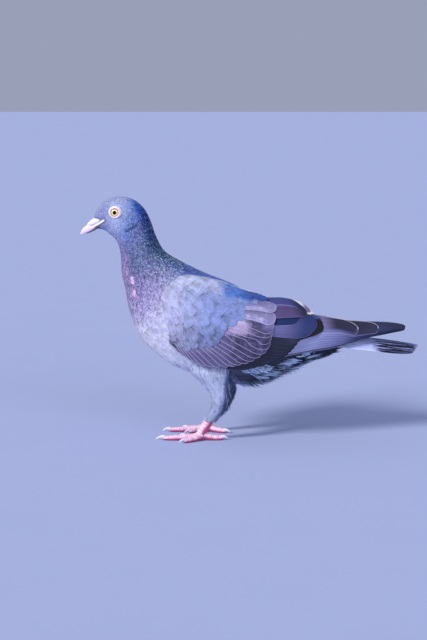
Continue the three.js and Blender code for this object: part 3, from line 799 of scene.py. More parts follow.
def markings(f):
    """The bird's colours over its body, for skin and coat alike: three runs of colour along the back,
    the side and the belly, mixed by the turn round the body, with the neck's green and purple shimmer,
    painted shade on the flank under the wing's edge and in the fold behind the cheek, and deep blue on
    nape and mantle that is partly painted shade."""
    along = f.number("along")
    down = 1.0 - (f.number("round") - 0.5).abs() * 2.0  # 0 on the back, 1 on the belly
    back, side, belly = (f.ramp(along / BODY_END, [(s / BODY_END, c) for s, c in line])
                         for line in (BACK_LINE, SIDE_LINE, BELLY_LINE))
    wander = f.noise(90.0, 3.0) - 0.5
    # the back's deep blue, partly painted shade, reaches further down the sides on the nape
    nape = along.between(5.0, 6.2) * along.between(9.2, 8.2) * 0.08
    colour = f.blend((down + wander * 0.14 - nape).between(0.14, 0.34), back, side)
    colour = f.blend((down + wander * 0.14).between(0.56, 0.86), colour, belly)
    speck = f.noise(560.0, 2.0, 0.6)
    green = along.between(8.2, 9.2) * along.between(10.5, 10.0) * speck.between(0.53, 0.61)
    faint = along.between(6.4, 7.4) * along.between(10.2, 9.6) * speck.between(0.54, 0.62)
    shimmer = (green * down.between(0.50, 0.26) * 0.85).most(faint * down.between(0.66, 0.40) * 0.35)
    colour = f.blend(shimmer, colour, (158, 200, 218))
    purple = along.between(8.4, 9.4) * along.between(10.9, 10.2) * speck.between(0.52, 0.40)
    colour = f.blend(purple * down.between(0.36, 0.6) * 0.55, colour, (176, 146, 204))
    # painted shade: the flank just under the wing's lower edge turns nearly black
    wing_edge_shade = along.between(12.5, 13.1) * down.between(0.50, 0.58) * down.between(0.84, 0.74)
    colour = f.blend(wing_edge_shade * 0.85, colour, (34, 42, 62))
    left = f.place()[0].between(2.0, 5.0) * (f.noise(900.0, 2.0) * 0.9 + 0.35)
    for spot, wide, amount in SPOTS:
        colour = f.blend(f.near(*spot, wide) * left * amount, colour, (244, 204, 238))
    # painted shade in the fold behind the cheek
    return f.blend(f.near(*CHEEK_FOLD_SHADE, 1.9) * 0.85, colour, (44, 60, 112))


def barbs(along, across, count):
    """Fine slanting ridges on both sides of a feather's shaft, about as many as count."""
    return ((along * 1.4 + across.abs() * 0.8) * (count * 2 * np.pi)).sin()


def plume_light(f, along, strength=1.6, low=0.66, high=0.86):
    """How light a small feather is over its length and from one to the next: painted shade where the
    feathers before it end over it, lighter at its tip, with fine mottling."""
    fine = f.noise(760.0, 4.0, 0.8) - 0.5
    broad = f.noise(230.0, 2.0) - 0.5
    own = 0.86 + f.number("tone") * 0.24 + along.between(0.9, 1.0) * 0.10
    # painted shade under the tips of the feathers that lie over this one
    return own + fine * strength + broad * 0.5 - along.between(high, low) * 0.26


def coat_finish(name="plumage", wash=None):
    """The small feathers of head, neck and body. A wash is a colour, its strength, and the tones between
    which feathers start to take it towards their tips; the darkest feathers turn blue with the same
    strength, and with a wash the feathers behind Y 52 to 64 darken with painted shade under the tail."""
    f = Finish(name, Roughness=0.8, Sheen_Weight=0.06, Specular_IOR_Level=0.25)
    along, across = f.vane()
    station, tone = f.number("along"), f.number("tone")
    colour = markings(f)
    if wash:
        tint, strength, low, high = wash
        _, y, _ = f.place()
        # painted shade under the tail: plumes behind Y 52 to 64 turn nearly black
        colour = f.blend(y.between(52.0, 64.0) * 0.6, colour, (30, 34, 48))
        pale = tone.between(low, high) * along.between(0.1, 0.6) * y.between(66.0, 54.0)
        colour = f.blend(pale * strength, colour, tint)
        colour = f.blend(tone.between(0.25, 0.1) * strength, colour, (44, 60, 112))
    fleck = f.noise(1200.0, 1.0).between(0.60, 0.68) * station.between(11.5, 9.0) * 0.4
    colour = f.blend(fleck, colour, (206, 216, 240))
    # mottled most on the neck, and soft and even on the breast and belly
    mottle = station.between(3.0, 6.5) * station.between(11.5, 9.5) * 1.4 + station.between(11.4, 10.2) * 0.6
    neck = station.between(4.0, 6.0) * station.between(11.0, 9.5)
    soft = station.between(10.0, 12.0) * station.between(14.5, 13.5)
    light = plume_light(f, along, mottle + 0.8) + (f.noise(430.0, 2.0, 0.6) - 0.5) * neck * 1.5
    f.set(Base_Color=f.shaded(colour, light + (0.92 - light) * soft * 0.45))
    return f.bump(barbs(along, across, 9.0), 0.2, 0.0002)


def skin_finish():
    """The skin under the coat: the same markings, darker, with fine granules."""
    f = Finish("skin", Roughness=0.8)
    f.set(Base_Color=f.shaded(markings(f), 0.72 + f.noise(900.0) * 0.1))
    return f.bump(f.cells(1400.0), 0.3, 0.0003)


def shield_finish():
    """The wing's small coverts: pale grey in front, bluer behind, paler along the top in part as painted
    highlight, deep blue over the shoulder blade that is partly painted shade, a painted highlight along
    the inner edge, and darker low down."""
    f = Finish("wing_coverts", Roughness=0.8, Sheen_Weight=0.06, Specular_IOR_Level=0.25)
    along, across = f.vane()
    tone, level = f.number("tone"), f.number("round")
    _, y, z = f.place()
    pale = f.ramp((y + 90.0) / 110.0, [
        (0.05, (190, 190, 220)), (0.14, (184, 184, 216)), (0.23, (172, 174, 210)), (0.32, (160, 167, 206)),
        (0.41, (147, 157, 202)), (0.50, (136, 148, 198)), (0.66, (130, 144, 198)), (0.80, (128, 142, 194)),
        (1.0, (120, 134, 188))])
    # deep blue over the shoulder blade: partly the coverts' own blue-grey, partly painted shade
    blue = f.ramp((y + 30.0) / 50.0, [
        (0.1, (104, 140, 214)), (0.35, (84, 126, 206)), (0.6, (50, 84, 160)), (1.0, (34, 66, 150))])
    # a paler band along the top: partly painted highlight where the light falls on it
    high = (level + (f.noise(90.0) - 0.5) * 0.12).between(0.27, 0.17)
    colour = f.blend(high * y.between(-22.0, -32.0) * 0.8, pale, (194, 199, 230))
    back = (z + (y + 20.0) * 0.17 + f.noise(80.0) * 6.0).between(131.5, 134.0) * y.between(-27.0, -18.0)
    colour = f.blend(back, colour, blue)
    # painted highlight: a pale line along the inner edge
    colour = f.blend(level.between(0.055, 0.025) * y.between(-32.0, -26.0) * 0.8, colour, (228, 232, 252))
    streak = f.streaks(along * 2.2, across * 5.0, tone * 90.0, Detail=3.0) - 0.5
    low = z.between(112.0, 94.0) * 0.27
    light = plume_light(f, along, 0.8, 0.52, 0.78) - low + streak * 0.8 + (0.5 - tone) * 0.12 + 0.02
    rim = across.abs().between(0.84, 0.98).most(along.between(0.95, 1.0)) * along.between(0.55, 0.7)
    f.set(Base_Color=f.blend(rim * 0.12, f.shaded(colour, light), (206, 212, 240)))
    return f.bump(barbs(along, across, 8.0), 0.25, 0.0002)


class Quill:
    """A large feather's finish in the making: its colour is laid on in turn, then finished with streaks, a
    pale fringe, a shaft and barbs. In across, -1 is the lower, outer edge and 1 the upper, inner one; inset
    and lower are mm from the outline and from the lower edge."""

    def __init__(self, name, colour, **steady):
        self.f = Finish(name, **{"Roughness": 0.62, "Specular_IOR_Level": 0.22, **steady})
        self.along, self.across = self.f.vane()
        self.tone, self.inset, self.lower = (self.f.number(n) for n in ("tone", "inset", "lower"))
        self.x, self.y, self.z = self.f.place()
        self.colour = self.f.blend(0.0, colour, colour)

    def paint(self, mask, colour):
        """Lay a colour over what is there, as far as the mask says."""
        self.colour = self.f.blend(mask, self.colour, colour)

    def own(self, tone, width=0.04):
        """1 on the one feather whose tone is this number, 0 on the rest."""
        return (self.tone - tone).abs().between(width * 1.5, width)

    def done(self, fringe, amount, wide=0.6, shaft_at=-0.3, streaks=0.5, mottle=0.5):
        """Finish with a fringe as wide in mm as given, as strong as amount, and a shaft at a place across."""
        f, along, across = self.f, self.along, self.across
        streak = f.streaks(along * 3.0, across * 14.0, self.tone * 90.0, Detail=3.0, Roughness=0.6) - 0.5
        fine = f.noise(1100.0, 3.0, 0.7) - 0.5
        colour = f.shaded(self.colour, 1.0 + streak * streaks + fine * mottle)
        colour = f.blend(self.inset.between(wide * 1.3, wide * 0.5) * amount, colour, fringe)
        shaft = (across - shaft_at).abs().between(0.05, 0.02) * along.between(1.0, 0.9)
        f.set(Base_Color=f.blend(shaft * 0.35, colour, (40, 34, 58)))
        return f.bump(barbs(along, across, 30.0) * 0.4 - shaft * 1.5, 0.25, 0.0002)


def great_finish():
    """Greater coverts: brownish purple with pinkish roots and fine pale edges, the upper ones paler."""
    q = Quill("greater_coverts", (76, 69, 106))
    # from feather to feather: the topmost palest, the middle ones a little lighter than the lowest
    q.paint(q.tone.between(0.84, 0.95), (158, 154, 200))
    q.paint(q.tone.between(0.5, 0.3) * q.z.between(80.0, 90.0) * 0.8, (112, 108, 154))
    # the warm patch where they come out from under the shield, and its end at the bend of the wing
    warm = (q.y + q.z * 0.1 + q.f.noise(60.0) * 8.0 + 2.0).abs().between(20.0, 11.0)
    q.paint(warm * q.z.between(96.0, 101.0) * q.tone.between(0.95, 0.85), (172, 156, 190))
    q.paint(q.z.between(80.0, 86.0) * q.y.between(-28.0, -36.0), (148, 138, 178))
    # pale mottling above, a dark line inside the pale edge, dark and light blotches below
    mottle = q.f.noise(260.0, 4.0, 0.7).between(0.50, 0.62) * q.z.between(104.0, 112.0)
    q.paint(mottle * 0.5, (214, 206, 232))
    q.paint(q.inset.between(0.8, 2.6) * q.across.between(-0.5, 0.3) * 0.55, (62, 55, 88))
    blotch, below = q.f.noise(150.0, 3.0, 0.7), q.z.between(104.0, 98.0)
    q.paint(blotch.between(0.50, 0.60) * below * q.y.between(-30.0, -18.0) * 0.6, (50, 44, 70))
    q.paint(blotch.between(0.46, 0.38) * below * 0.35, (140, 130, 168))
    # greyer in front, lighter at the upper tips, and the small feathers at the bend
    q.paint(q.y.between(-12.0, -26.0) * 0.75, (102, 96, 138))
    q.paint(q.z.between(100.0, 105.0) * q.along.between(0.68, 0.86) * 0.7, (134, 128, 172))
    q.paint(q.own(0.05, 0.06), (72, 66, 96))
    low_edge = (q.lower - q.inset).abs().between(0.4, 0.1)
    return q.done((186, 178, 216), 0.30 + low_edge * 0.40, wide=0.55, streaks=1.1, mottle=1.3)


def secondary_finish():
    """Secondaries: green-black, a little browner where they come out from under the coverts."""
    q = Quill("secondaries", (38, 42, 58))
    q.paint((q.z + q.y * 0.6).between(106.0, 116.0) * 0.6, (66, 62, 92))
    q.paint(q.along.between(0.9, 1.0) * 0.8, (22, 26, 36))
    return q.done((84, 86, 122), 0.35 * q.along.between(0.97, 0.85), wide=0.4)


def tertial_finish():
    """Tertials: a pale one along the back, white in part with painted highlight, a purple-brown one, a
    blue-grey one and a dark one beneath them, partly painted shadow, whose navy web shows above the
    blue-grey one."""
    q = Quill("tertials", (112, 100, 158))
    # along the back: grey at its root, white beyond, partly painted highlight where the light falls on
    # its top, with a warm middle at its tip
    first = q.own(0.1)
    q.paint(first, (132, 134, 182))
    q.paint(first * q.y.between(36.0, 41.0), (255, 250, 255))
    tip = q.y.between(45.0, 49.0) * q.y.between(54.5, 52.5)
    q.paint(first * tip * q.inset.between(2.0, 3.2), (150, 128, 160))
    # purple-brown outside, blue inside, with a light line between, and dark at its tip
    second = q.own(0.35)
    q.paint(second, (84, 72, 116))
    q.paint(second * q.across.between(-0.06, 0.06), (66, 72, 132))
    q.paint(second * q.across.between(-0.06, 0.0) * q.across.between(0.08, 0.03) * 0.6, (150, 150, 196))
    q.paint(second * (q.along + q.across * 0.08).between(0.72, 0.98) * 0.85, (24, 26, 50))
    # blue-grey, deeper towards its tip and along its edge
    third = q.own(0.6)
    q.paint(third, (102, 100, 150))
    q.paint(third * q.y.between(26.0, 50.0), (48, 60, 108))
    q.paint(third * q.inset.between(4.0, 0.6) * q.y.between(30.0, 50.0) * 0.5, (40, 52, 100))
    # nearly black, partly its own colour and partly painted shadow under the tertials over it, with its
    # navy web and a bluer upper tip
    fourth = q.own(0.9)
    q.paint(fourth, (26, 26, 36))
    q.paint(fourth * q.y.between(48.0, 44.0) * q.z.between(103.0, 104.5), (24, 44, 88))
    q.paint(fourth * q.y.between(52.0, 55.0) * q.z.between(107.5, 109.5), (64, 84, 140))
    return q.done((150, 142, 190), (second + third).least(1.0) * 0.4, wide=0.35, streaks=0.5)


def hand_finish():
    """Primaries: lavender outer edges that lie as stripes, purple-brown tips with a thin pale rim, and a
    pinkish root on the first long one."""
    q = Quill("primaries", (44, 42, 66))
    first, second = q.own(0.25, 0.03), q.own(0.35, 0.03)
    # bluer towards the tips, pinkish at the root of the first long one
    q.paint(q.y.between(96.0, 112.0) * q.tone.between(0.3, 0.4), (46, 50, 82))
    q.paint(q.y.between(116.0, 130.0) * 0.6, (38, 44, 68))
    q.paint(first * q.y.between(77.0, 62.0), (118, 108, 152))
    # the lavender web that shows below each, as wide as the step between them, and the dark line over it,
    # painted shadow under the edge of the feather above
    web = q.f.ramp((q.y - 20.0) / 110.0, [
        (0.0, (158, 160, 202)), (0.3, (150, 154, 202)), (0.5, (106, 112, 164)), (0.64, (66, 72, 120)),
        (0.75, (48, 54, 92)), (1.0, (34, 38, 62))])
    step = q.y.between(20.0, 60.0) * 0.75 + q.y.between(100.0, 68.0) * 1.35 + 0.25
    steps_up = q.lower / step
    q.paint(q.tone.between(0.12, 0.2) * steps_up.between(2.6, 0.9), web)
    # painted shadow under the edge of the feather above
    line = steps_up.between(0.62, 0.95) * steps_up.between(1.5, 1.2)
    q.paint(q.tone.between(0.2, 0.3) * line * 0.85, (48, 50, 84))
    # the short first ones are dark, partly their own colour and partly painted shadow under the tertials;
    # the outermost is dark, and the inner edge has a painted highlight where the light falls on it
    q.paint(q.tone.between(0.2, 0.1), (28, 28, 40))
    q.paint(q.own(0.95, 0.05) * 0.7, (30, 32, 48))
    top = (q.f.number("round") + (q.y - 84.0).abs() * 0.0016).between(0.078, 0.04)
    q.paint(top * q.y.between(62.0, 74.0) * q.y.between(104.0, 86.0) * 0.8, (222, 218, 242))
    rim = (first + second).least(1.0) * q.along.between(0.74, 0.8)
    rim = rim * (q.y.between(78.0, 90.0) * 0.55 + 0.4) * (q.lower.between(0.6, 2.2) * 0.8 + 0.2)
    edge = q.lower.between(0.5, 0.2) * q.y.between(92.0, 80.0)
    return q.done((224, 214, 240), rim * 0.95 + edge * 0.25, wide=0.75, shaft_at=-0.6, streaks=0.5)


def tail_finish():
    """Tail feathers: pale lavender, partly painted light where the wings shade them, a broad dark band, pale
    streaks on the side feathers and pale tips.
    """
    # the near-white base is partly painted light, lifting the tail where the wings shade it
    q = Quill("tail", (204, 210, 254), Roughness=0.85, Specular_IOR_Level=0.12)
    band = (q.y + q.f.noise(150.0) * 8.0 + q.inset * 0.8).between(112.0, 120.0)
    q.paint(band, (24, 28, 56))
    streak = q.f.streaks(q.y * 0.03, q.across * 4.0, q.tone * 90.0, Detail=2.0)
    middle = q.x.abs().between(20.0, 12.0) * 0.12
    q.paint((streak + middle).between(0.62, 0.65) * q.y.between(152.0, 140.0) * 0.85, (176, 190, 255))
    q.paint(q.y.between(144.0, 148.5) * q.x.abs().between(19.0, 12.0) * 0.7, (186, 196, 250))
    return q.done((206, 214, 246), 0.25, wide=0.4, shaft_at=0.0, streaks=0.5)


def horn_finish(name, colours):
    """Bill and claws: colour along Y from the bill's tip back, with faint growth lines."""
    f = Finish(name, Roughness=0.38, Coat_Weight=0.15, Subsurface_Weight=0.0)
    _, y, z = f.place()
    grain = f.streaks(y * 0.25, z * 1.6, y * 0.1, Detail=3.0)
    f.set(Base_Color=f.shaded(f.ramp((y + 151.0) / 22.0, colours), 0.86 + grain * 0.28))
    return f.bump(grain, 0.25, 0.0002)


def bare_finish(name, colour, spots, scale=1500.0):
    """Powdery bare skin: fine granules and a slight cloudiness."""
    f = Finish(name, Roughness=0.7)
    grain = f.cells(scale)
    cloud = grain.between(0.15, 0.6) * 0.25 + f.noise(400.0).between(0.4, 0.7) * 0.4
    f.set(Base_Color=f.blend(cloud, colour, spots))
    return f.bump(grain, 0.2, 0.0002)


def scale_finish():
    """Leg skin: pink plates with painted shade in crimson below, deeper grooves between them and a painted
    highlight on each. plate is 0 to 1 along each scale, and top is 1 on the limb's upper line and -1 on
    its lower one."""
    f = Finish("leg_skin", Roughness=0.5, Subsurface_Weight=0.0)
    plate, top = f.number("plate"), f.number("top")
    colour = f.ramp(f.noise(260.0), [(0.3, (238, 166, 200)), (0.5, (247, 196, 222)), (0.7, (252, 222, 238))])
    # painted shade: crimson on the underside of each limb
    colour = f.blend(top.between(0.35, -0.35) * 0.9, colour, (168, 48, 102))
    groove = plate.between(0.2, 0.0).most(plate.between(0.86, 1.0)) * top.between(-0.6, 0.2)
    colour = f.blend(groove * 0.85, colour, (138, 40, 92))
    # painted highlight on the upper part of each plate
    swell = plate.between(0.35, 0.6) * plate.between(0.9, 0.75) * top.between(0.1, 0.7)
    f.set(Base_Color=f.blend(swell * 0.6, colour, (255, 236, 245)))
    return f.bump(f.cells(1800.0), 0.25, 0.0002)


def eye_finish():
    """The eye: colours by distance from its axis, from the black pupil to the iris and its dark rim."""
    f = Finish("eye", Roughness=0.1, Coat_Weight=0.12, Coat_Roughness=0.03, Specular_IOR_Level=0.15)
    x, y, z = f.place()
    inputs = {0: x.abs() - EYE["x"], 1: y - EYE["y"], 2: z - EYE["z"]}
    from_middle = f.node("ShaderNodeCombineXYZ", inputs=inputs)
    axis = tuple(float(v) for v in eye_frame()[0])
    off = f.node("ShaderNodeVectorMath", {"operation": "CROSS_PRODUCT"}, {0: from_middle, 1: axis})
    r = f.node("ShaderNodeVectorMath", {"operation": "LENGTH"}, {0: off}, out=1)
    ring = f.ramp(r / 4.0 + (f.noise(1600.0) - 0.5) * 0.03, [
        (0.0, (2, 2, 3)), (0.40, (3, 3, 4)), (0.43, (150, 120, 60)), (0.47, (250, 240, 188)),
        (0.62, (248, 224, 152)), (0.74, (228, 180, 104)), (0.82, (172, 118, 70)), (0.89, (84, 58, 50)),
        (1.0, (50, 38, 44))])
    return f.set(Base_Color=ring)


# ---- skin ----

def slab(surface, edges, levels, outer, inner, steps):
    """Points and faces of a closed slab under a surface: its outer face lies outer mm deep, its inner one
    0.4 mm deeper and up to inner mm more in its middle, as (1 - x^4) both ways. edges gives its front and
    rear."""
    u, v = np.meshgrid(np.linspace(0, 1, steps[0]), np.linspace(0, 1, steps[1]), indexing="ij")
    level = levels[0] + (levels[1] - levels[0]) * v
    front, rear = edges(level)
    point, _, _, out = surface.at(np.stack([front + (rear - front) * u, level], -1))
    bulge = (1 - (2 * u - 1) ** 4) * (1 - (2 * v - 1) ** 4)
    under = point - out * (outer + 0.4 + inner * bulge)[..., None]
    ids = np.arange(u.size).reshape(u.shape)
    rim = np.concatenate([ids[:, 0], ids[-1, 1:], ids[-2::-1, -1], ids[0, -2:0:-1]])
    nxt = np.roll(rim, -1)
    walls = np.stack([rim, nxt, nxt + u.size, rim + u.size], -1)
    face = grid_quads(ids.T)
    points = np.concatenate([(point - out * outer).reshape(-1, 3), under.reshape(-1, 3)])
    return points, [np.concatenate([face[:, ::-1], face + u.size, walls])]


def shifted(points, side):
    """A left leg's points where the named leg stands: the left foot is ahead, the right one behind."""
    facing = {"left": -1, "right": 1}[side]
    return points + [0, facing * FOOT["stagger"], 0]


def wing_edges(level):
    """Front and rear edge of the wing's fleshy part at a level."""
    return smooth([-58, -68, -73, -73, -70], 4 * level), smooth([20, 22, 16, 2, -10], 4 * level)


def make_skin(finish):
    """Body and feathered legs as one closed surface, a coat's depth inside the plumage."""
    s, turn = ring_grid((0.02, BODY_END), 120, 72)
    marks = capped(np.stack([s, turn], -1).reshape(-1, 2))
    parts = [(*closed_tube(body_shape(s, turn, inset=smooth(COAT, s))), marks)]
    for side in ("left", "right"):
        points, faces = closed_tube(thigh_shape(*ring_grid((0, len(THIGH) - 1.2), 34, 28), inset=0.9))
        points = shifted(points, side)
        marks = np.stack([np.full(len(points), 12.6), np.where(points[:, 1] > -26, 0.3, 0.4)], -1)
        if side == "right":
            points, faces = mirrored(points, faces)
        parts.append((points, faces, marks))
    names = ("skin", "skin_part_1", "skin_part_2")
    whole, *legs = (mesh_object(name, points, faces, finish, None, {"along": at[:, 0], "round": at[:, 1]})
                    for name, (points, faces, at) in zip(names, parts))
    for leg in legs:
        union = whole.modifiers.new("join", "BOOLEAN")
        union.operation, union.solver, union.object = "UNION", "EXACT", leg
    made = bpy.data.meshes.new_from_object(whole.evaluated_get(bpy.context.evaluated_depsgraph_get()))
    whole.modifiers.clear()
    whole.data = made
    made.name = "skin"
    made.polygons.foreach_set("use_smooth", np.full(len(made.polygons), True))
    for leg in legs:
        bpy.data.objects.remove(leg)
    mounted(whole, "plumage", "head", "neck", "trunk", "thigh_left", "thigh_right")


# ---- coat ----

BODY_SPAN = ((0, 0), (BODY_END, 1), True)
THIGH_SPAN = ((0, 0), (len(THIGH) - 1, 1), True)
WING_SPAN = ((-92, -0.06), (141, 1.06), False)
# The spacing of the small feathers at the body's sections, in mm.
FEATHER = np.array([0.6, 0.65, 0.75, 0.85, 0.95, 1.05, 1.2, 1.4, 1.7, 2.1, 2.8, 3.6, 4.2, 4.4, 4.4, 4.2, 4.0,
                    3.6])


def gaps(table, share):
    """The spacing in mm at any section, as a share of a table's sizes."""
    return lambda p: float(smooth(table, np.array(p))) * share


def under_wing(root):
    """Places on the body that the folded wing hides."""
    point, _, _, _ = body.at(root)
    x, y, z = point[:, 0], point[:, 1], point[:, 2]
    top, low, _, inner = np.moveaxis(hull_row(np.clip(y, -92, 140)), -1, 0)
    return (y > -60) & (y < 60) & (z > low + 7) & (z < top - 5) & (np.abs(x) > inner + 6)


def clear_of_bare_skin(line):
    """True for feathers that reach neither the ring round the eye, the cere nor the strip at the corner of
    the mouth."""
    clear = np.ones(len(line), bool)
    first, run = GAPE[0, :2], GAPE[-1, :2] - GAPE[0, :2]
    for spot in (line[:, 0], line[:, -1], line[:, line.shape[1] // 2]):
        point, _, _, _ = body.at(spot)
        y, z = point[:, 1], point[:, 2]
        clear &= np.hypot(y - EYE["y"], (z - EYE["z"]) * 1.1) > ORBIT["outer"] - 0.1
        clear &= np.hypot(y - CERE_MIDDLE[0], (z - CERE_MIDDLE[1]) * 1.2) > 3.4
        y, z = y - first[0], z - first[1]
        t = np.clip((y * run[0] + z * run[1]) / (run[0] ** 2 + run[1] ** 2), 0, 1)
        near = np.hypot(y - t * run[0], z - t * run[1]) < 1.0
        clear &= ~(near & (np.abs(point[:, 0]) > 3))
    return clear


def body_tract(span, overlap, along, across, tip, thick, stray=0.12, slim=1.0, profile=oval):
    """Contour feathers in staggered rows over the body: each reaches over the next rows by overlap gaps,
    from the skin at its root up to the coat's face at its tip. Those behind the legs and under the tail are
    left to the loose plumes."""
    root, gap = rows_of_roots(body, span, gaps(FEATHER, 0.95), gaps(FEATHER, 1.3 * slim))
    loose = (root[:, 0] > 13.3) & (np.abs(root[:, 1] - 0.5) < 0.19)
    held = ~under_wing(root) & ~loose
    root, gap = root[held], gap[held]
    length = gap * overlap * rng.uniform(0.9, 1.15, len(root))
    line = straight(root, rng.normal(0, stray, len(root)), length, body, along + 1)
    held = clear_of_bare_skin(line)
    root, line = root[held], line[held]
    n = len(root)
    half = smooth(FEATHER, root[:, 0]) * rng.uniform(0.9, 1.1, n) * slim
    # the belly between the legs stands off by up to 1.1 mm more
    low = ease(np.abs(root[:, 1] - 0.5), 0.16, 0.08)
    fluff = 1.1 * ease(root[:, 0], 11, 12) * ease(root[:, 0], 13.2, 12.6) * low
    lift = rise(smooth(COAT, root[:, 0]), tip * rng.uniform(0.4, 1.4, n) + fluff, along, 3.4)
    return lay(body, line, half, lift, profile=profile, across=across, thick=thick, camber=0.07 * half,
               tilt=rng.normal(0, 0.03, n) * half)


def wisp_tract(count, span, reach, width, stand):
    """Loose single barbs over the contour feathers between two sections, closer where those are smaller.
    reach is their length, width their half width and stand how free their tips stand, in feather sizes."""
    share = np.sort(rng.uniform(*span, 4 * count))
    root = np.stack([share, rng.uniform(0, 1, 4 * count)], -1)
    _, dp, dq, _ = body.at(root)
    area = np.linalg.norm(np.cross(dp, dq), axis=-1) / smooth(FEATHER, share) ** 1.5
    root = root[(rng.random(len(root)) < area / area.mean() / 4) & ~under_wing(root)]
    size = smooth(FEATHER, root[:, 0])
    n = len(root)
    line = straight(root, rng.normal(0, 0.22, n), size * reach * rng.uniform(0.7, 1.3, n), body, 4)
    held = clear_of_bare_skin(line)
    line, size = line[held], size[held]
    n = len(size)
    half = size * width * rng.uniform(0.7, 1.3, n)
    lift = rise(0.25 * size, stand * size * rng.uniform(0.3, 1.5, n), 3, 2.0)
    return lay(body, line, half, lift, profile=wisp, across=2, thick=0.05, camber=0.02)


def make_body_coat(finish):
    """The small feathers of the head, the hackles of the neck, then breast, belly, mantle and rump."""
    head = body_tract((0.16, 6.0), 2.8, 3, 2, 0.07, 0.05)
    neck = body_tract((6.0, 9.8), 3.6, 4, 2, 0.12, 0.05, stray=0.2, slim=0.72, profile=hackle)
    trunk = body_tract((9.8, 14.4), 3.6, 5, 4, 0.08, 0.05)
    rear = body_tract((14.4, 16.9), 3.0, 5, 4, 0.3, 0.1)
    feather_piece("head_feathers", [head], finish, BODY_SPAN, "plumage")
    feather_piece("neck_feathers", [neck], finish, BODY_SPAN, "plumage")
    feather_piece("trunk_feathers", [trunk, rear], finish, BODY_SPAN, "plumage")
    for name, kind in (("neck_barbs", (7000, (2.0, 9.6), 3.0, 0.22, 0.10)),
                       ("breast_barbs", (7500, (9.6, 14.0), 2.0, 0.12, 0.08))):
        feather_piece(name, [wisp_tract(*kind)], finish, BODY_SPAN, "plumage")


def make_vent(finish):
    """Loose plumes behind the legs and under the tail, in ragged tufts: the plumes of a tuft share a
    direction and a tone, and draw together at their tips."""
    tufts, each = 190, 17
    middle = np.stack([rng.uniform(12.9, 15.9, tufts), 0.5 + rng.uniform(-0.21, 0.21, tufts)], -1)
    turn, long = rng.normal(0, 0.22, tufts), rng.uniform(8, 13, tufts)
    hang = rng.gamma(2.2, 1.4, tufts).clip(0, 6) * (1 - 0.6 * ease(middle[:, 0], 14.6, 15.2))
    light = rng.random(tufts)
    middle, turn, long, hang, light = (np.repeat(v, each, 0) for v in (middle, turn, long, hang, light))
    n = tufts * each
    _, _, dq, _ = body.at(middle)
    aside = rng.normal(0, 1.7, n)
    root = middle + np.stack([rng.normal(0, 0.12, n), aside / np.linalg.norm(dq, axis=-1)], -1)
    long = long * rng.uniform(0.7, 1.1, n)
    line = straight(root, turn - 0.7 * aside / long + rng.normal(0, 0.08, n), long, body, 6)
    hang = hang * rng.uniform(0.6, 1.1, n)
    half, lift = rng.uniform(0.4, 1.0, n), rise(2.0 + 0 * hang, 0.2 + hang, 5, 1.6)
    plumes = lay(body, line, half, lift, profile=wisp, thick=0.1, camber=0.1, tilt=rng.normal(0, 0.1, n))
    feather_piece("vent_plumes", [plumes], finish, BODY_SPAN, "plumage",
                  tones=[np.clip(light * 0.8 + rng.random(n) * 0.2, 0, 1)])


def leg_marks(points):
    """Where the leg's feathers sit in the body's markings: pale in front and outside, dark blue behind, most
    of all on the thigh, where they take the painted shade of the rear underside."""
    y, z = points[..., 1], points[..., 2]
    middle = np.interp(z, [17, 26, 40, 48, 62, 76], [-34, -28, -24, -24, -22, -18])
    # behind the leg the feathers take the colours of section 14.2, which hold painted shade
    behind = ease(y - middle, -2, 5) * ease(z, 18, 30)
    ahead = 13.0 + 0.3 * ease(z, 44, 28)
    return np.stack([ahead + (14.2 - ahead) * behind, 0.5 + 0 * behind], -1)


def make_legs(finish):
    """Feathers of the thigh and upper tarsus: narrow and loose, smaller and closer towards the foot, ragged
    behind."""
    size = np.array([3.4, 3.2, 2.8, 2.4, 2.0, 1.7, 1.5, 1.3, 1.1])
    for side in ("left", "right"):
        root, step = rows_of_roots(thigh, (0.05, 7.8), gaps(size, 0.66), gaps(size, 0.6))
        n = len(root)
        behind = ease(np.cos(2 * np.pi * root[:, 1]), 0.2, 0.9)
        length = step * 4.4 * rng.uniform(0.8, 1.25, n) * (1 + 0.5 * behind)
        line = straight(root, rng.normal(0, 0.18, n), length, thigh, 5)
        free = rng.random(n) * 0.25 + behind * rng.gamma(1.5, 0.7, n).clip(0, 3.0)
        half, lift = smooth(size, root[:, 0]) * 0.36, rise(0.9 + 0 * free, free, 4, 3.4)
        tract = lay(thigh, line, half, lift, profile=wisp, thick=0.06, camber=0.05,
                    tilt=rng.normal(0, 0.04, n))
        tract["points"] = shifted(tract["points"], side)
        feather_piece(f"leg_feathers_{side}", [tract], finish, THIGH_SPAN, "plumage", mirror=side == "right",
                      marks=leg_marks)


# ---- wings ----

def on_wing(points):
    """Places on the wing from (Y, Z) as seen from the side."""
    return np.stack([points[..., 0], level_of(points[..., 0], points[..., 1])], -1)


def from_to(roots, tips, count, points_along, bow=0.0):
    """Middle lines between two runs of (Y, Z) points, read at count even steps and bowed up in the
    middle."""
    roots, tips = (smooth(r, np.linspace(0, len(r) - 1, count)) for r in (roots, tips))
    a = stations(points_along)[None, :, None]
    path = roots[:, None] * (1 - a) + tips[:, None] * a
    path[..., 1] += (bow * 4 * a * (1 - a))[..., 0]
    return on_wing(path)


# Where the small coverts end, from the tip of the scapulars down and forward to the bend of the wing.
SHIELD_EDGE = np.array([(14.0, 126.8), (5.5, 125.6), (-3, 124.5), (-5, 118.5), (-6.5, 112.5), (-16, 107),
                        (-23.5, 102), (-24.5, 95.5), (-31, 90.5), (-36, 89.5), (-44.5, 88), (-51, 84.8),
                        (-58, 86.5), (-65, 91.5), (-71, 96.5), (-77, 101)])


def shield_slope(y, z):
    """Direction of the small coverts: back and down at the bend of the wing, more level behind and above."""
    return np.radians(50 - 34 * ease(y, -78, -10) - 14 * ease(z, 100, 134))


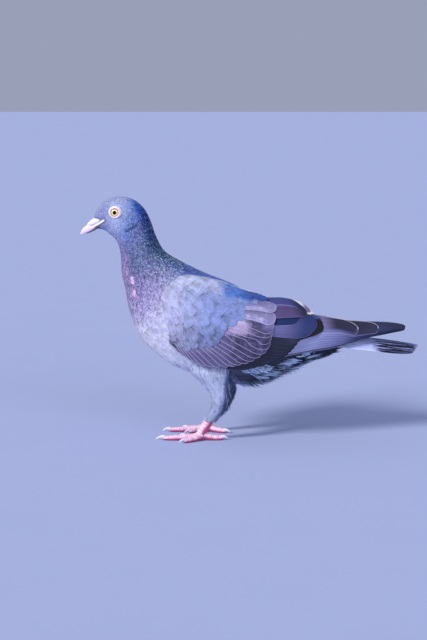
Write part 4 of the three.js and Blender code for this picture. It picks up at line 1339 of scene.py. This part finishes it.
def in_shield(root, line):
    """True for coverts with roots behind the wing's front edge and tips inside the shield's edge."""
    start, tip = wing.at(root)[0], wing.at(line[:, -1])[0]
    rear_edge = SHIELD_EDGE[:12]
    order = np.argsort(rear_edge[:, 1])
    rear = np.interp(tip[:, 2], rear_edge[order, 1], rear_edge[order, 0])
    below = np.interp(tip[:, 1], SHIELD_EDGE[::-1, 0], np.minimum.accumulate(SHIELD_EDGE[::-1, 1]))
    front = np.interp(root[:, 1], [0, 0.25, 0.5, 0.75, 1.0], [-72, -84, -90, -90, -86])
    return (tip[:, 1] < rear - 1.5) & (tip[:, 2] > below + 1.0) & (start[:, 1] > front) & (root[:, 1] < 0.97)


def shield_tract():
    """Lesser and median coverts and the scapulars over them: round-tipped feathers in staggered rows inside
    the shield's edge, and a last row whose tips make that edge."""
    rows, levels, step = np.arange(-92, 18, 5.8), 16, 0.064
    row, place = np.meshgrid(np.arange(len(rows)), np.arange(levels), indexing="ij")
    root = np.stack([rows[row], place * step + 0.004 + step / 2 * (row % 2)], -1).reshape(-1, 2)
    root = root + rng.uniform(-1, 1, root.shape) * [2.0, 0.014]
    root[:, 1] = np.maximum(root[:, 1], 0.022)
    point, _, _, _ = wing.at(root)
    size = (16.0 + 3.0 * ease(point[:, 1], -75, -30)) * rng.uniform(0.88, 1.12, len(root))
    slope = shield_slope(point[:, 1], point[:, 2]) + rng.normal(0, 0.18, len(root))
    line = straight(root, slope, size, wing, 9)
    held = in_shield(root, line)
    # the last row: 17 coverts of 15 mm along the edge
    ends = smooth(SHIELD_EDGE, np.linspace(0, len(SHIELD_EDGE) - 1, 17))
    slope = shield_slope(ends[:, 0], ends[:, 1])
    starts = ends - 15 * np.stack([np.cos(slope), -np.sin(slope)], -1)
    line = np.concatenate([from_to(starts, ends, 17, 9), line[held]])
    size = np.concatenate([np.full(17, 14.0), size[held]])
    n = len(line)
    ridge = ease(line[..., 1], 0.20, 0.03) * ease(line[..., 0], -66, -48)
    lift = rise(1.5 + 0 * size, rng.uniform(-0.15, 0.35, n), 8, 3.0) + 1.2 * ridge
    half = size * 0.38 * rng.uniform(0.9, 1.15, n)
    tilt = rng.normal(0, 0.14, n) * ease(line[:, 4, 1], 0.02, 0.12)
    return lay(wing, line, half, lift, profile=lobe, across=6, thick=0.12, camber=1.0, tilt=tilt)


# Each greater covert's visible root and its tip, from the topmost down and forward: Y, Z.
COVERT_ROOTS = [(-3, 123), (-3.5, 112), (-8, 106), (-14, 101), (-19, 95), (-25, 91), (-33, 89), (-41, 89),
                (-49, 86), (-57, 88), (-66, 94), (-72, 98)]
COVERT_TIPS = [(22.4, 119.5), (20.8, 105), (18.6, 96), (16.2, 87), (9.5, 80.4), (0.7, 75.2), (-9, 72.4),
               (-20, 70.2), (-31, 70.4), (-41, 71.8), (-50, 75), (-58, 80)]


def great_tract():
    """Greater coverts and their tones: long feathers fanned from the back of the shield, each one's lower
    edge over the next. They start well under the shield, half of the visible length before the visible
    root."""
    shown, tips = np.array(COVERT_ROOTS, float), np.array(COVERT_TIPS, float)
    n = 20
    line = from_to(shown - 0.5 * (tips - shown), tips, n, 15, bow=1.0)
    line[:, :, 0] += rng.uniform(-1.0, 0.6, n)[:, None] * np.linspace(0, 1, 15)
    k = np.arange(n)
    lift = rise(1.2 + 0 * k, -0.1 - 0.01 * k, 14, 3.0) - 0.04 * k[:, None]
    half = np.interp(k, [0, 1, 3, n - 1], [8.2, 7.8, 7.4, 4.0])
    tone = 0.97 - 0.045 * k + rng.uniform(-0.03, 0.03, n)
    return lay(wing, line, half, lift, profile=blade, across=8, thick=0.3, camber=0.15, tilt=-0.42), tone


def bend_tract():
    """The small stiff feathers along the wing's lower front edge, below the shield, and their tones."""
    line = from_to([(-84, 106), (-82, 101), (-80, 97)], [(-66, 90), (-61, 82.5), (-55, 78)], 4, 11)
    k = np.arange(4)
    lift = rise(1.8 + 0 * k, -0.6 - 0.2 * k, 10)
    tract = lay(wing, line, np.full(4, 2.8), lift, profile=blade, across=4, thick=0.3, camber=0.1, tilt=-0.3)
    return tract, np.full(4, 0.05)


def secondary_tract():
    """Secondaries and their tones: their tips show below and behind the greater coverts."""
    roots = [(-12, 104), (-18, 100), (-24, 96), (-30, 92), (-36, 88), (-42, 84), (-46, 80), (-50, 78)]
    tips = [(43.5, 93.5), (40, 88.5), (36.5, 84.4), (32.4, 80.6), (27.4, 77.4), (21, 75), (12.5, 72.7),
            (3, 71)]
    line = from_to(roots, tips, 11, 13, bow=-1.0)
    k = np.arange(11)
    lift = -2.0 - 0.07 * k[:, None] + 1.0 * ease(wing.at(line)[0][..., 1], 8, 30)
    tract = lay(wing, line, np.full(11, 6.5), lift, profile=blade, across=6, thick=0.25, camber=0.1,
                tilt=-0.3)
    return tract, 0.2 + 0.6 * rng.random(11)


def tertial_tract():
    """Tertials and their tones: four broad feathers that close the wing over the rump. The innermost lies
    along the back, the next two lie on it and the last, dark one is under them."""
    tips = [(56.4, 113.2), (49.8, 113.8), (58.2, 105.2), (64, 101.5)]

    def low(y):
        edge = np.stack([
            np.interp(y[0], [42, 49, 55], [118, 114, 112.4]),
            111.6 + 0 * y[1],
            np.interp(y[2], [0, 20, 40, 58], [99, 96, 93.4, 95.5]),
            np.interp(y[3], [0, 40, 58, 64], [92, 91, 95.8, 97]),
        ])
        return level_of(y, edge)

    def high(y):
        third = 105.8 + 7.4 * ease(y[2], 37, 47)
        return np.stack([-0.05 + 0 * y[0], 0.035 + 0.05 * ease(y[1], 37, 45), level_of(y[2], third),
                         level_of(y[3], 112.6)])

    def lift(y):
        return -np.array([[0.75], [0.1], [0.55], [1.1]]) - 1.5 * (1 - ease(y, 10, 30))

    ends = [np.array([4.0, 3.0, 14.0, 9.0]), np.array([9.0, 16.5, 13.0, 14.0])]
    tract = drawn([-16, -16, -14, -6], tips, low, high, ends, lift, across=10, thick=0.3)
    return tract, np.array([0.1, 0.35, 0.6, 0.9])


def hand_tract():
    """Ten primaries folded together, and their tones. Each lower edge lies a step above the next one's, each
    feather over the next, and the tips reach further back from the first to the ninth."""
    k = np.arange(10)[:, None]
    tips = np.array([(61, 103.5), (64.5, 102), (94.8, 100.2), (112.6, 100.8), (122, 101.6), (127.5, 102.2),
                     (131.5, 102.4), (134.7, 102.2), (136.5, 101.2), (134.2, 99)])

    def low(y):
        step = np.interp(y, [20, 40, 64, 78, 91, 110, 130], [1.6, 1.86, 2.35, 1.85, 0.95, 0.5, 0.3])
        return level_of(y, hull_row(y)[..., 1] + (9 - k) * step)

    def high(y):
        return -0.05 + 0.006 * k + 0.09 * ease(y, 66, 54)

    def lift(y):
        far = ease(y, 95, 128)
        return -0.25 - (0.17 - 0.10 * far) * k - 2.4 * (1 - ease(y, 50, 78)) + 1.5 * far

    ends = [np.array([6, 6, 5, 4, 3, 3, 3, 3, 3, 3.0]), np.array([18, 18, 32, 20, 10, 6, 4, 4, 4, 4.0])]
    tract = drawn(np.full(10, 4.0), tips, low, high, ends, lift, along=44, across=14, thick=0.2, tilt=-0.10)
    return tract, (np.arange(10) + 0.5) / 10


def make_wings(finishes):
    """Both folded wings, the right one made like a left one and mirrored: the shield, the large feathers of
    each tract, and the fleshy arm under them."""
    for side in ("left", "right"):
        flip = side == "right"
        shield = shield_tract()
        large = [make() for make in (great_tract, bend_tract, secondary_tract, tertial_tract, hand_tract)]
        great, bend, second, tertial, hand = large
        if flip:
            # the right wing lies a little lower towards the rear, and its primaries also nearer the middle
            for tract in (shield, great[0], second[0], tertial[0]):
                tract["points"][..., 2] -= 2.8 * ease(tract["points"][..., 1], -84, -56)
            points = hand[0]["points"]
            points[..., 2] -= 2.8
            points[..., 0] -= 5.0 * ease(points[..., 1], 60, 120)
        feather_piece(f"wing_coverts_{side}", [shield], finishes["shield"], WING_SPAN, "plumage",
                      (f"wing_{side}",), flip)
        for name, look, parts, nodes in (
                ("greater_coverts", "great", (great, bend), ()),
                ("secondaries", "second", (second,), ()),
                ("tertials", "tertial", (tertial,), ()),
                ("hand_feathers", "hand", (hand,), (f"primaries_{side}",))):
            tracts, tones = zip(*parts)
            feather_piece(f"{name}_{side}", tracts, finishes[look], None, "flight_feathers", nodes, flip,
                          tones)
        points, faces = slab(wing, wing_edges, (0.03, 0.97), 2.9, 2.2, (40, 30))
        if flip:
            points, faces = mirrored(points, faces)
        numbers = {"along": np.full(len(points), 11.5), "round": np.full(len(points), 0.3)}
        mounted(mesh_object(f"wing_arm_{side}", points, faces, finishes["skin"], None, numbers), "plumage")


def make_tail(finish):
    """Twelve tail feathers, the middle pair on top."""
    off = (np.arange(12) - 5.5) / 5.5
    a = stations(17)
    u = (1 - 0.05 * np.abs(off))[:, None] * a
    line = np.stack([u, off[:, None] * (0.55 + 0.20 * a)], -1)
    lift = np.repeat((1.4 - 2.2 * np.abs(off))[:, None], 17, 1)
    vanes = lay(tail, line, np.full(12, 7.0), lift, profile=blade, across=8, thick=0.35, camber=0.2,
                tilt=-0.25 * np.sign(off))
    feather_piece("tail_feathers", [vanes], finish, None, "flight_feathers", ("tail",),
                  tones=[0.5 + 0.5 * off])


# ---- head pieces ----

def eye_frame():
    """The left eye's axis and the two directions across it."""
    t = EYE["toe_in"]
    axis = np.array([np.cos(t), -np.sin(t), 0])
    up = np.array([0, 0, 1.0])
    return axis, np.cross(up, axis), up


def turned(profile, around, wave=None):
    """Rings of a profile of (radius, way out) carried round the eye's axis; wave varies both by angle."""
    axis, fore, up = eye_frame()
    angle = 2 * np.pi * np.arange(around) / around
    radius, out = (np.repeat(profile[:, k:k + 1], around, axis=1) for k in (0, 1))
    if wave is not None:
        radius, out = wave(radius, out, angle)
    centre = np.array([EYE["x"], EYE["y"], EYE["z"]])
    across = np.cos(angle)[:, None] * fore + np.sin(angle)[:, None] * up
    return centre + (out - EYE["x"])[..., None] * axis + radius[..., None] * across


def make_eyes(eye_look, ring_look):
    """Each eye is a dome closed behind; the bare ring round it rises from the lids' edge to a soft crest,
    falls outwards and has fine folds."""
    reach = np.arcsin(EYE["opening"] / EYE["ball"]) * 1.12
    turn = reach * np.linspace(0.02, 1, 14)
    dome = np.stack([EYE["ball"] * np.sin(turn), EYE["apex"] - EYE["ball"] * (1 - np.cos(turn))], -1)
    back = np.array([[dome[-1, 0], EYE["x"] + 1.2], [dome[-1, 0] * 0.5, EYE["x"] + 0.4]])
    ball = closed_tube(turned(np.concatenate([dome, back]), 40))
    inner, outer, crest = EYE["opening"] - 0.15, ORBIT["outer"], ORBIT["crest"]
    s = np.linspace(0, 1, 16)
    dip = 1 - np.sin(np.pi * np.clip(s * 1.6, 0, 1)) ** 0.6
    lid = np.stack([inner + (outer - inner) * s, crest - dip * (s < 0.4) - 1.9 * ease(s, 0.35, 1.0)], -1)
    under = np.array([[outer + 0.2, crest - 3.4], [inner + 0.4, crest - 3.4], [inner, crest - 2.0]])

    def wrinkle(radius, out, angle):
        share = np.clip((radius - inner) / (outer - inner), 0, 1)
        fold = 0.14 * np.sin(angle * 26 + 2.2 * np.sin(angle * 3)) + 0.08 * np.sin(angle * 61)
        squash = 1 - 0.07 * np.sin(angle) ** 2 * share
        return radius * squash, out + fold * np.sin(np.pi * share) ** 0.8

    ring = ring_shell(turned(np.concatenate([lid, under]), 120, wrinkle))
    for side in ("left", "right"):
        if side == "right":
            ball, ring = mirrored(*ball), mirrored(*ring)
        mounted(mesh_object(f"eyeball_{side}", *ball, eye_look), "eye", f"eye_{side}")
        mounted(mesh_object(f"eye_ring_{side}", *ring, ring_look), "cere", f"orbit_{side}")


def ring_shell(rings):
    """Points and faces of a closed band: the profile returns to where it starts, so the rings join up."""
    n, m, _ = rings.shape
    ids = np.arange(n * m).reshape(n, m)
    down, across = np.roll(ids, -1, 0), np.roll(ids, -1, 1)
    quads = np.stack([ids, across, np.roll(down, -1, 1), down], -1).reshape(-1, 4)
    points = rings.reshape(-1, 3)
    a, b, c = (points[quads[:, k]] for k in range(3))
    if (a * np.cross(b, c)).sum() < 0:
        quads = quads[:, ::-1]
    return points, [quads]


def body_half(y, z):
    """How far out the face is at points seen from the side, from the nearest points of the body's
    surface."""
    p, q = np.meshgrid(np.linspace(0, 4, 160), np.linspace(0.02, 0.48, 120), indexing="ij")
    point = body.at(np.stack([p, q], -1))[0].reshape(-1, 3)
    near = np.argmin((point[:, 1] - y[:, None]) ** 2 + (point[:, 2] - z[:, None]) ** 2, axis=1)
    return point[near, 0]


def make_bill(upper_look, lower_look):
    """Both mandibles. The upper one has a rounded ridge, a sharp cutting edge on each side and a slanting
    slit for each nostril: a dent of 1.1 mm that falls off with exp(-x^2) along and across it."""
    s, turn = ring_grid((0, len(UPPER_BILL) - 1), 60, 48)
    rings = body_shape(s, turn, table=UPPER_BILL)
    a = 2 * np.pi * turn[..., None]
    middle = rings.mean(1, keepdims=True)
    rings = middle + (rings - middle) * (1 + 0.05 * np.cos(2 * a) - 0.04 * np.cos(4 * a))
    y, z = rings[..., 1] - NOSTRIL[0], rings[..., 2] - NOSTRIL[1]
    slit = np.exp(-((y / 2.6) ** 2 + ((z + 0.45 * y) / 0.55) ** 2))
    rings[..., 0] -= np.sign(rings[..., 0]) * 1.1 * slit
    mounted(mesh_object("upper_mandible", *closed_tube(rings), upper_look), "bill", "bill_upper")
    rings = body_shape(*ring_grid((0, len(LOWER_BILL) - 1), 44, 48), table=LOWER_BILL)
    mounted(mesh_object("lower_mandible", *closed_tube(rings), lower_look), "bill", "bill_lower")


def make_gape(look):
    """The bare strip at each corner of the mouth, half sunk in the face."""
    row = smooth(GAPE, np.linspace(0, len(GAPE) - 1, 28))
    path = np.stack([body_half(row[:, 0], row[:, 1]) - 0.1, row[:, 0], row[:, 1]], -1)
    strip = scaled_limb(path, 0.9 * row[:, 2], row[:, 2], 3, around=16, floor=False)[:2]
    for side in ("left", "right"):
        shape = strip if side == "left" else mirrored(*strip)
        mounted(mesh_object(f"gape_strip_{side}", *shape, look), "cere")


def make_cere(look):
    """The cere over the bill's root: ellipses across its line, with a groove along the middle on top."""
    s, turn = ring_grid((0, len(CERE) - 1), 44, 56)
    row = smooth(CERE, s[:, 0])[:, None]
    a = 2 * np.pi * turn
    ahead = unit(np.gradient(row[:, 0, 0:2], axis=0))[:, None]
    groove = 1 - 0.30 * np.exp(-(np.sin(a) / 0.22) ** 2) * (np.cos(a) > 0)
    level = np.cos(a) * row[..., 2] * groove
    rings = np.stack([np.sin(a) * row[..., 3], row[..., 0] + ahead[..., 1] * level,
                      row[..., 1] - ahead[..., 0] * level], -1)
    mounted(mesh_object("cere_swelling", *closed_tube(rings), look), "cere", "cere")


# ---- feet ----

def scaled_limb(path, across, up, plates, around=22, sideways=None, floor=True):
    """A scaled limb along a path of points: ellipses of half width across and half height up, with plates
    that rise towards the tip and drop sharply, strongest on top and let out towards the end. sideways is its
    own direction across, level where none is given. Returns points, faces and the numbers plate and top."""
    ahead = unit(np.gradient(path, axis=0))
    side = unit(np.cross(ahead, [0, 0, 1.0]) if sideways is None else np.broadcast_to(sideways, ahead.shape))
    over = unit(np.cross(side, ahead))
    share = np.linspace(0, 1, len(path))
    plate = (share * plates) % 1.0
    a = 2 * np.pi * np.arange(around) / around
    top = np.cos(a)[None, :]
    crown = 0.5 + 0.5 * np.tanh(3 * (top + 0.15))
    swell = 1 + (0.16 * (plate ** 0.7 - 0.45))[:, None] * crown * np.minimum(1, 4 * (1 - share))[:, None]
    rings = path[:, None] + (across[:, None] * np.sin(a) * swell)[..., None] * side[:, None] \
        + (up[:, None] * np.cos(a) * swell)[..., None] * over[:, None]
    if floor:
        rings[..., 2] = np.maximum(rings[..., 2], 0)
    numbers = (capped(v.ravel()) for v in np.broadcast_arrays(plate[:, None], top))
    return (*closed_tube(rings), *numbers)


def toe_parts(heading, reach, claw):
    """A toe with its claw, as on the left foot. The toe tapers, swells at its joints and rounds off at its
    end; the claw is an arc that leaves it a little upwards and turns down."""
    h = np.radians(heading)
    ahead, base = np.array([np.sin(h), -np.cos(h), 0]), np.array([FOOT["x"], FOOT["y"], 0])

    def path(out, height):
        return base + ahead * out[:, None] + np.array([0, 0, 1]) * height[:, None]

    t = np.linspace(0, 1, int(reach * 5))
    taper, joints = 1 - 0.16 * t, 1 + 0.07 * np.cos(6 * np.pi * t)
    end = np.sqrt(np.clip((1.0 - t) * 9, 0.0, 1)).clip(0.25, 1)
    r = FOOT["toe"] * (taper + 0.25 * (1 - t) ** 4) * joints * end
    height = FOOT["toe"] * taper * 0.86 + 2.1 * (1 - t) ** 3 - 0.25 * ease(t, 0.9, 1)
    toe = scaled_limb(path(1.0 + (reach - 1.0) * t, height), 0.86 * r, r, reach / FOOT["plate"])
    u = np.linspace(0, 1, 22)
    turn, first, bend = u * FOOT["turn"] - FOOT["rise"], FOOT["rise"], claw / FOOT["turn"]
    out = reach - 1.6 + (bend + 1.2) * (np.sin(turn) + np.sin(first))
    height = 3.3 - bend * (np.cos(first) - np.cos(turn))
    thick = FOOT["claw"] * (1 - 0.93 * u ** 1.3)
    return toe, scaled_limb(path(out, height), thick * 0.9, thick * 1.15, 0.001, around=14)


def make_feet(skin_look, claw_look):
    """For each foot the scaled shank and toes as one piece, and its four claws as another."""
    for side in ("left", "right"):
        row = smooth(SHANK, np.linspace(0, len(SHANK) - 1, 90))
        shank = scaled_limb(row[:, [4, 0, 1]], row[:, 3], row[:, 2], 9, around=28, sideways=[-1.0, 0, 0])
        toes, horns = zip(*(toe_parts(*toe) for toe in TOES[side]))
        skin_parts = [shank, *toes]
        points, faces = joined([part[:2] for part in skin_parts])
        plate, top = (np.concatenate([part[k] for part in skin_parts]) for k in (2, 3))
        claw_points, claw_faces = joined([horn[:2] for horn in horns])
        if side == "right":
            points, faces = mirrored(points, faces)
            claw_points, claw_faces = mirrored(claw_points, claw_faces)
        foot = mesh_object(f"foot_{side}", shifted(points, side), faces, skin_look, None,
                           {"plate": plate, "top": top})
        mounted(foot, "leg_skin", f"shank_{side}", *(f"{name}_{side}" for name in TOE_NAMES))
        claws = mesh_object(f"claws_{side}", shifted(claw_points, side), claw_faces, claw_look)
        mounted(claws, "claw", *(f"{name}_{side}" for name in CLAW_NAMES))


# ---- the bird ----

coat, skin = coat_finish(), skin_finish()
finishes = {"skin": skin, "shield": shield_finish(), "great": great_finish(), "second": secondary_finish(),
            "tertial": tertial_finish(), "hand": hand_finish()}

make_skin(skin)
make_body_coat(coat)
# the vent's pale wash on the plume tips is partly their own pale grey and partly painted light on the barbs
make_vent(coat_finish("vent_plumage", ((196, 216, 252), 0.95, 0.28, 0.5)))
make_legs(coat_finish("leg_plumage", ((214, 220, 246), 0.22, 0.45, 0.7)))
make_wings(finishes)
make_tail(tail_finish())
make_eyes(eye_finish(), bare_finish("eye_ring", (255, 244, 250), (232, 202, 224)))
make_bill(
    horn_finish("bill_horn", [(0.0, (214, 202, 228)), (0.12, (236, 220, 240)), (0.5, (250, 226, 244)),
                              (1.0, (244, 206, 230))]),
    # the lower mandible is dark, darkest towards its root: painted shade under the upper mandible
    horn_finish("bill_horn_below", [(0.0, (150, 132, 160)), (0.3, (96, 84, 112)), (1.0, (40, 36, 58))]),
)
cere_look = bare_finish("cere_skin", (255, 252, 255), (238, 230, 242), 2200.0)
make_gape(cere_look)
make_cere(cere_look)
make_feet(scale_finish(), horn_finish("claw_horn", [(0.0, (226, 220, 236)), (1.0, (232, 226, 240))]))

# ---- floor, light, camera ----

ground = Finish("floor", Roughness=1.0, Specular_IOR_Level=0.0)
ground.set(Base_Color=ground.blend(ground.noise(14.0, 4.0) * 0.5, (176, 186, 222), (184, 193, 227)))
floor_points = np.array([[-60, -40, 0], [60, -40, 0], [60, 40, 0], [-60, 40, 0]]) / MM
floor_piece = mesh_object("floor", floor_points, np.array([[0, 1, 2, 3]]), ground)

world = bpy.data.worlds.new("studio")
bpy.context.scene.world = world
world.use_nodes = True
backdrop = world.node_tree.nodes["Background"]
backdrop.inputs["Color"].default_value = linear((200, 208, 238))
backdrop.inputs["Strength"].default_value = 0.55


def sun(name, direction, energy, colour, angle):
    """A distant lamp that shines along a direction; angle is how wide it looks, in radians."""
    data = bpy.data.lights.new(name, "SUN")
    data.energy, data.color, data.angle = energy, colour, angle
    obj = bpy.data.objects.new(name, data)
    bpy.context.scene.collection.objects.link(obj)
    way = Vector(direction)
    obj.location = Vector((0, 0, 0.1)) - way * 2.2
    obj.rotation_euler = way.to_track_quat("-Z", "Y").to_euler()


sun("key", (-0.52, 0.66, -0.54), 2.6, (1.0, 0.98, 0.96), 0.28)
sun("fill", (-0.85, -0.45, -0.25), 1.15, (0.88, 0.92, 1.0), 0.79)

# The camera looks at the bird's left side from its place in metres, down by some degrees.
CAMERA = dict(place=(1.4118, -0.0325, 0.2958), down=7.688, lens=90, sensor=36)
camera_data = bpy.data.cameras.new("camera")
camera_data.lens, camera_data.sensor_width = CAMERA["lens"], CAMERA["sensor"]
camera = bpy.data.objects.new("camera", camera_data)
camera.location = CAMERA["place"]
camera.rotation_euler = (np.radians(90 - CAMERA["down"]), 0, np.radians(90))
bpy.context.scene.collection.objects.link(camera)
bpy.context.scene.camera = camera
bpy.context.scene.view_settings.view_transform = "Standard"

bpy.context.view_layer.update()
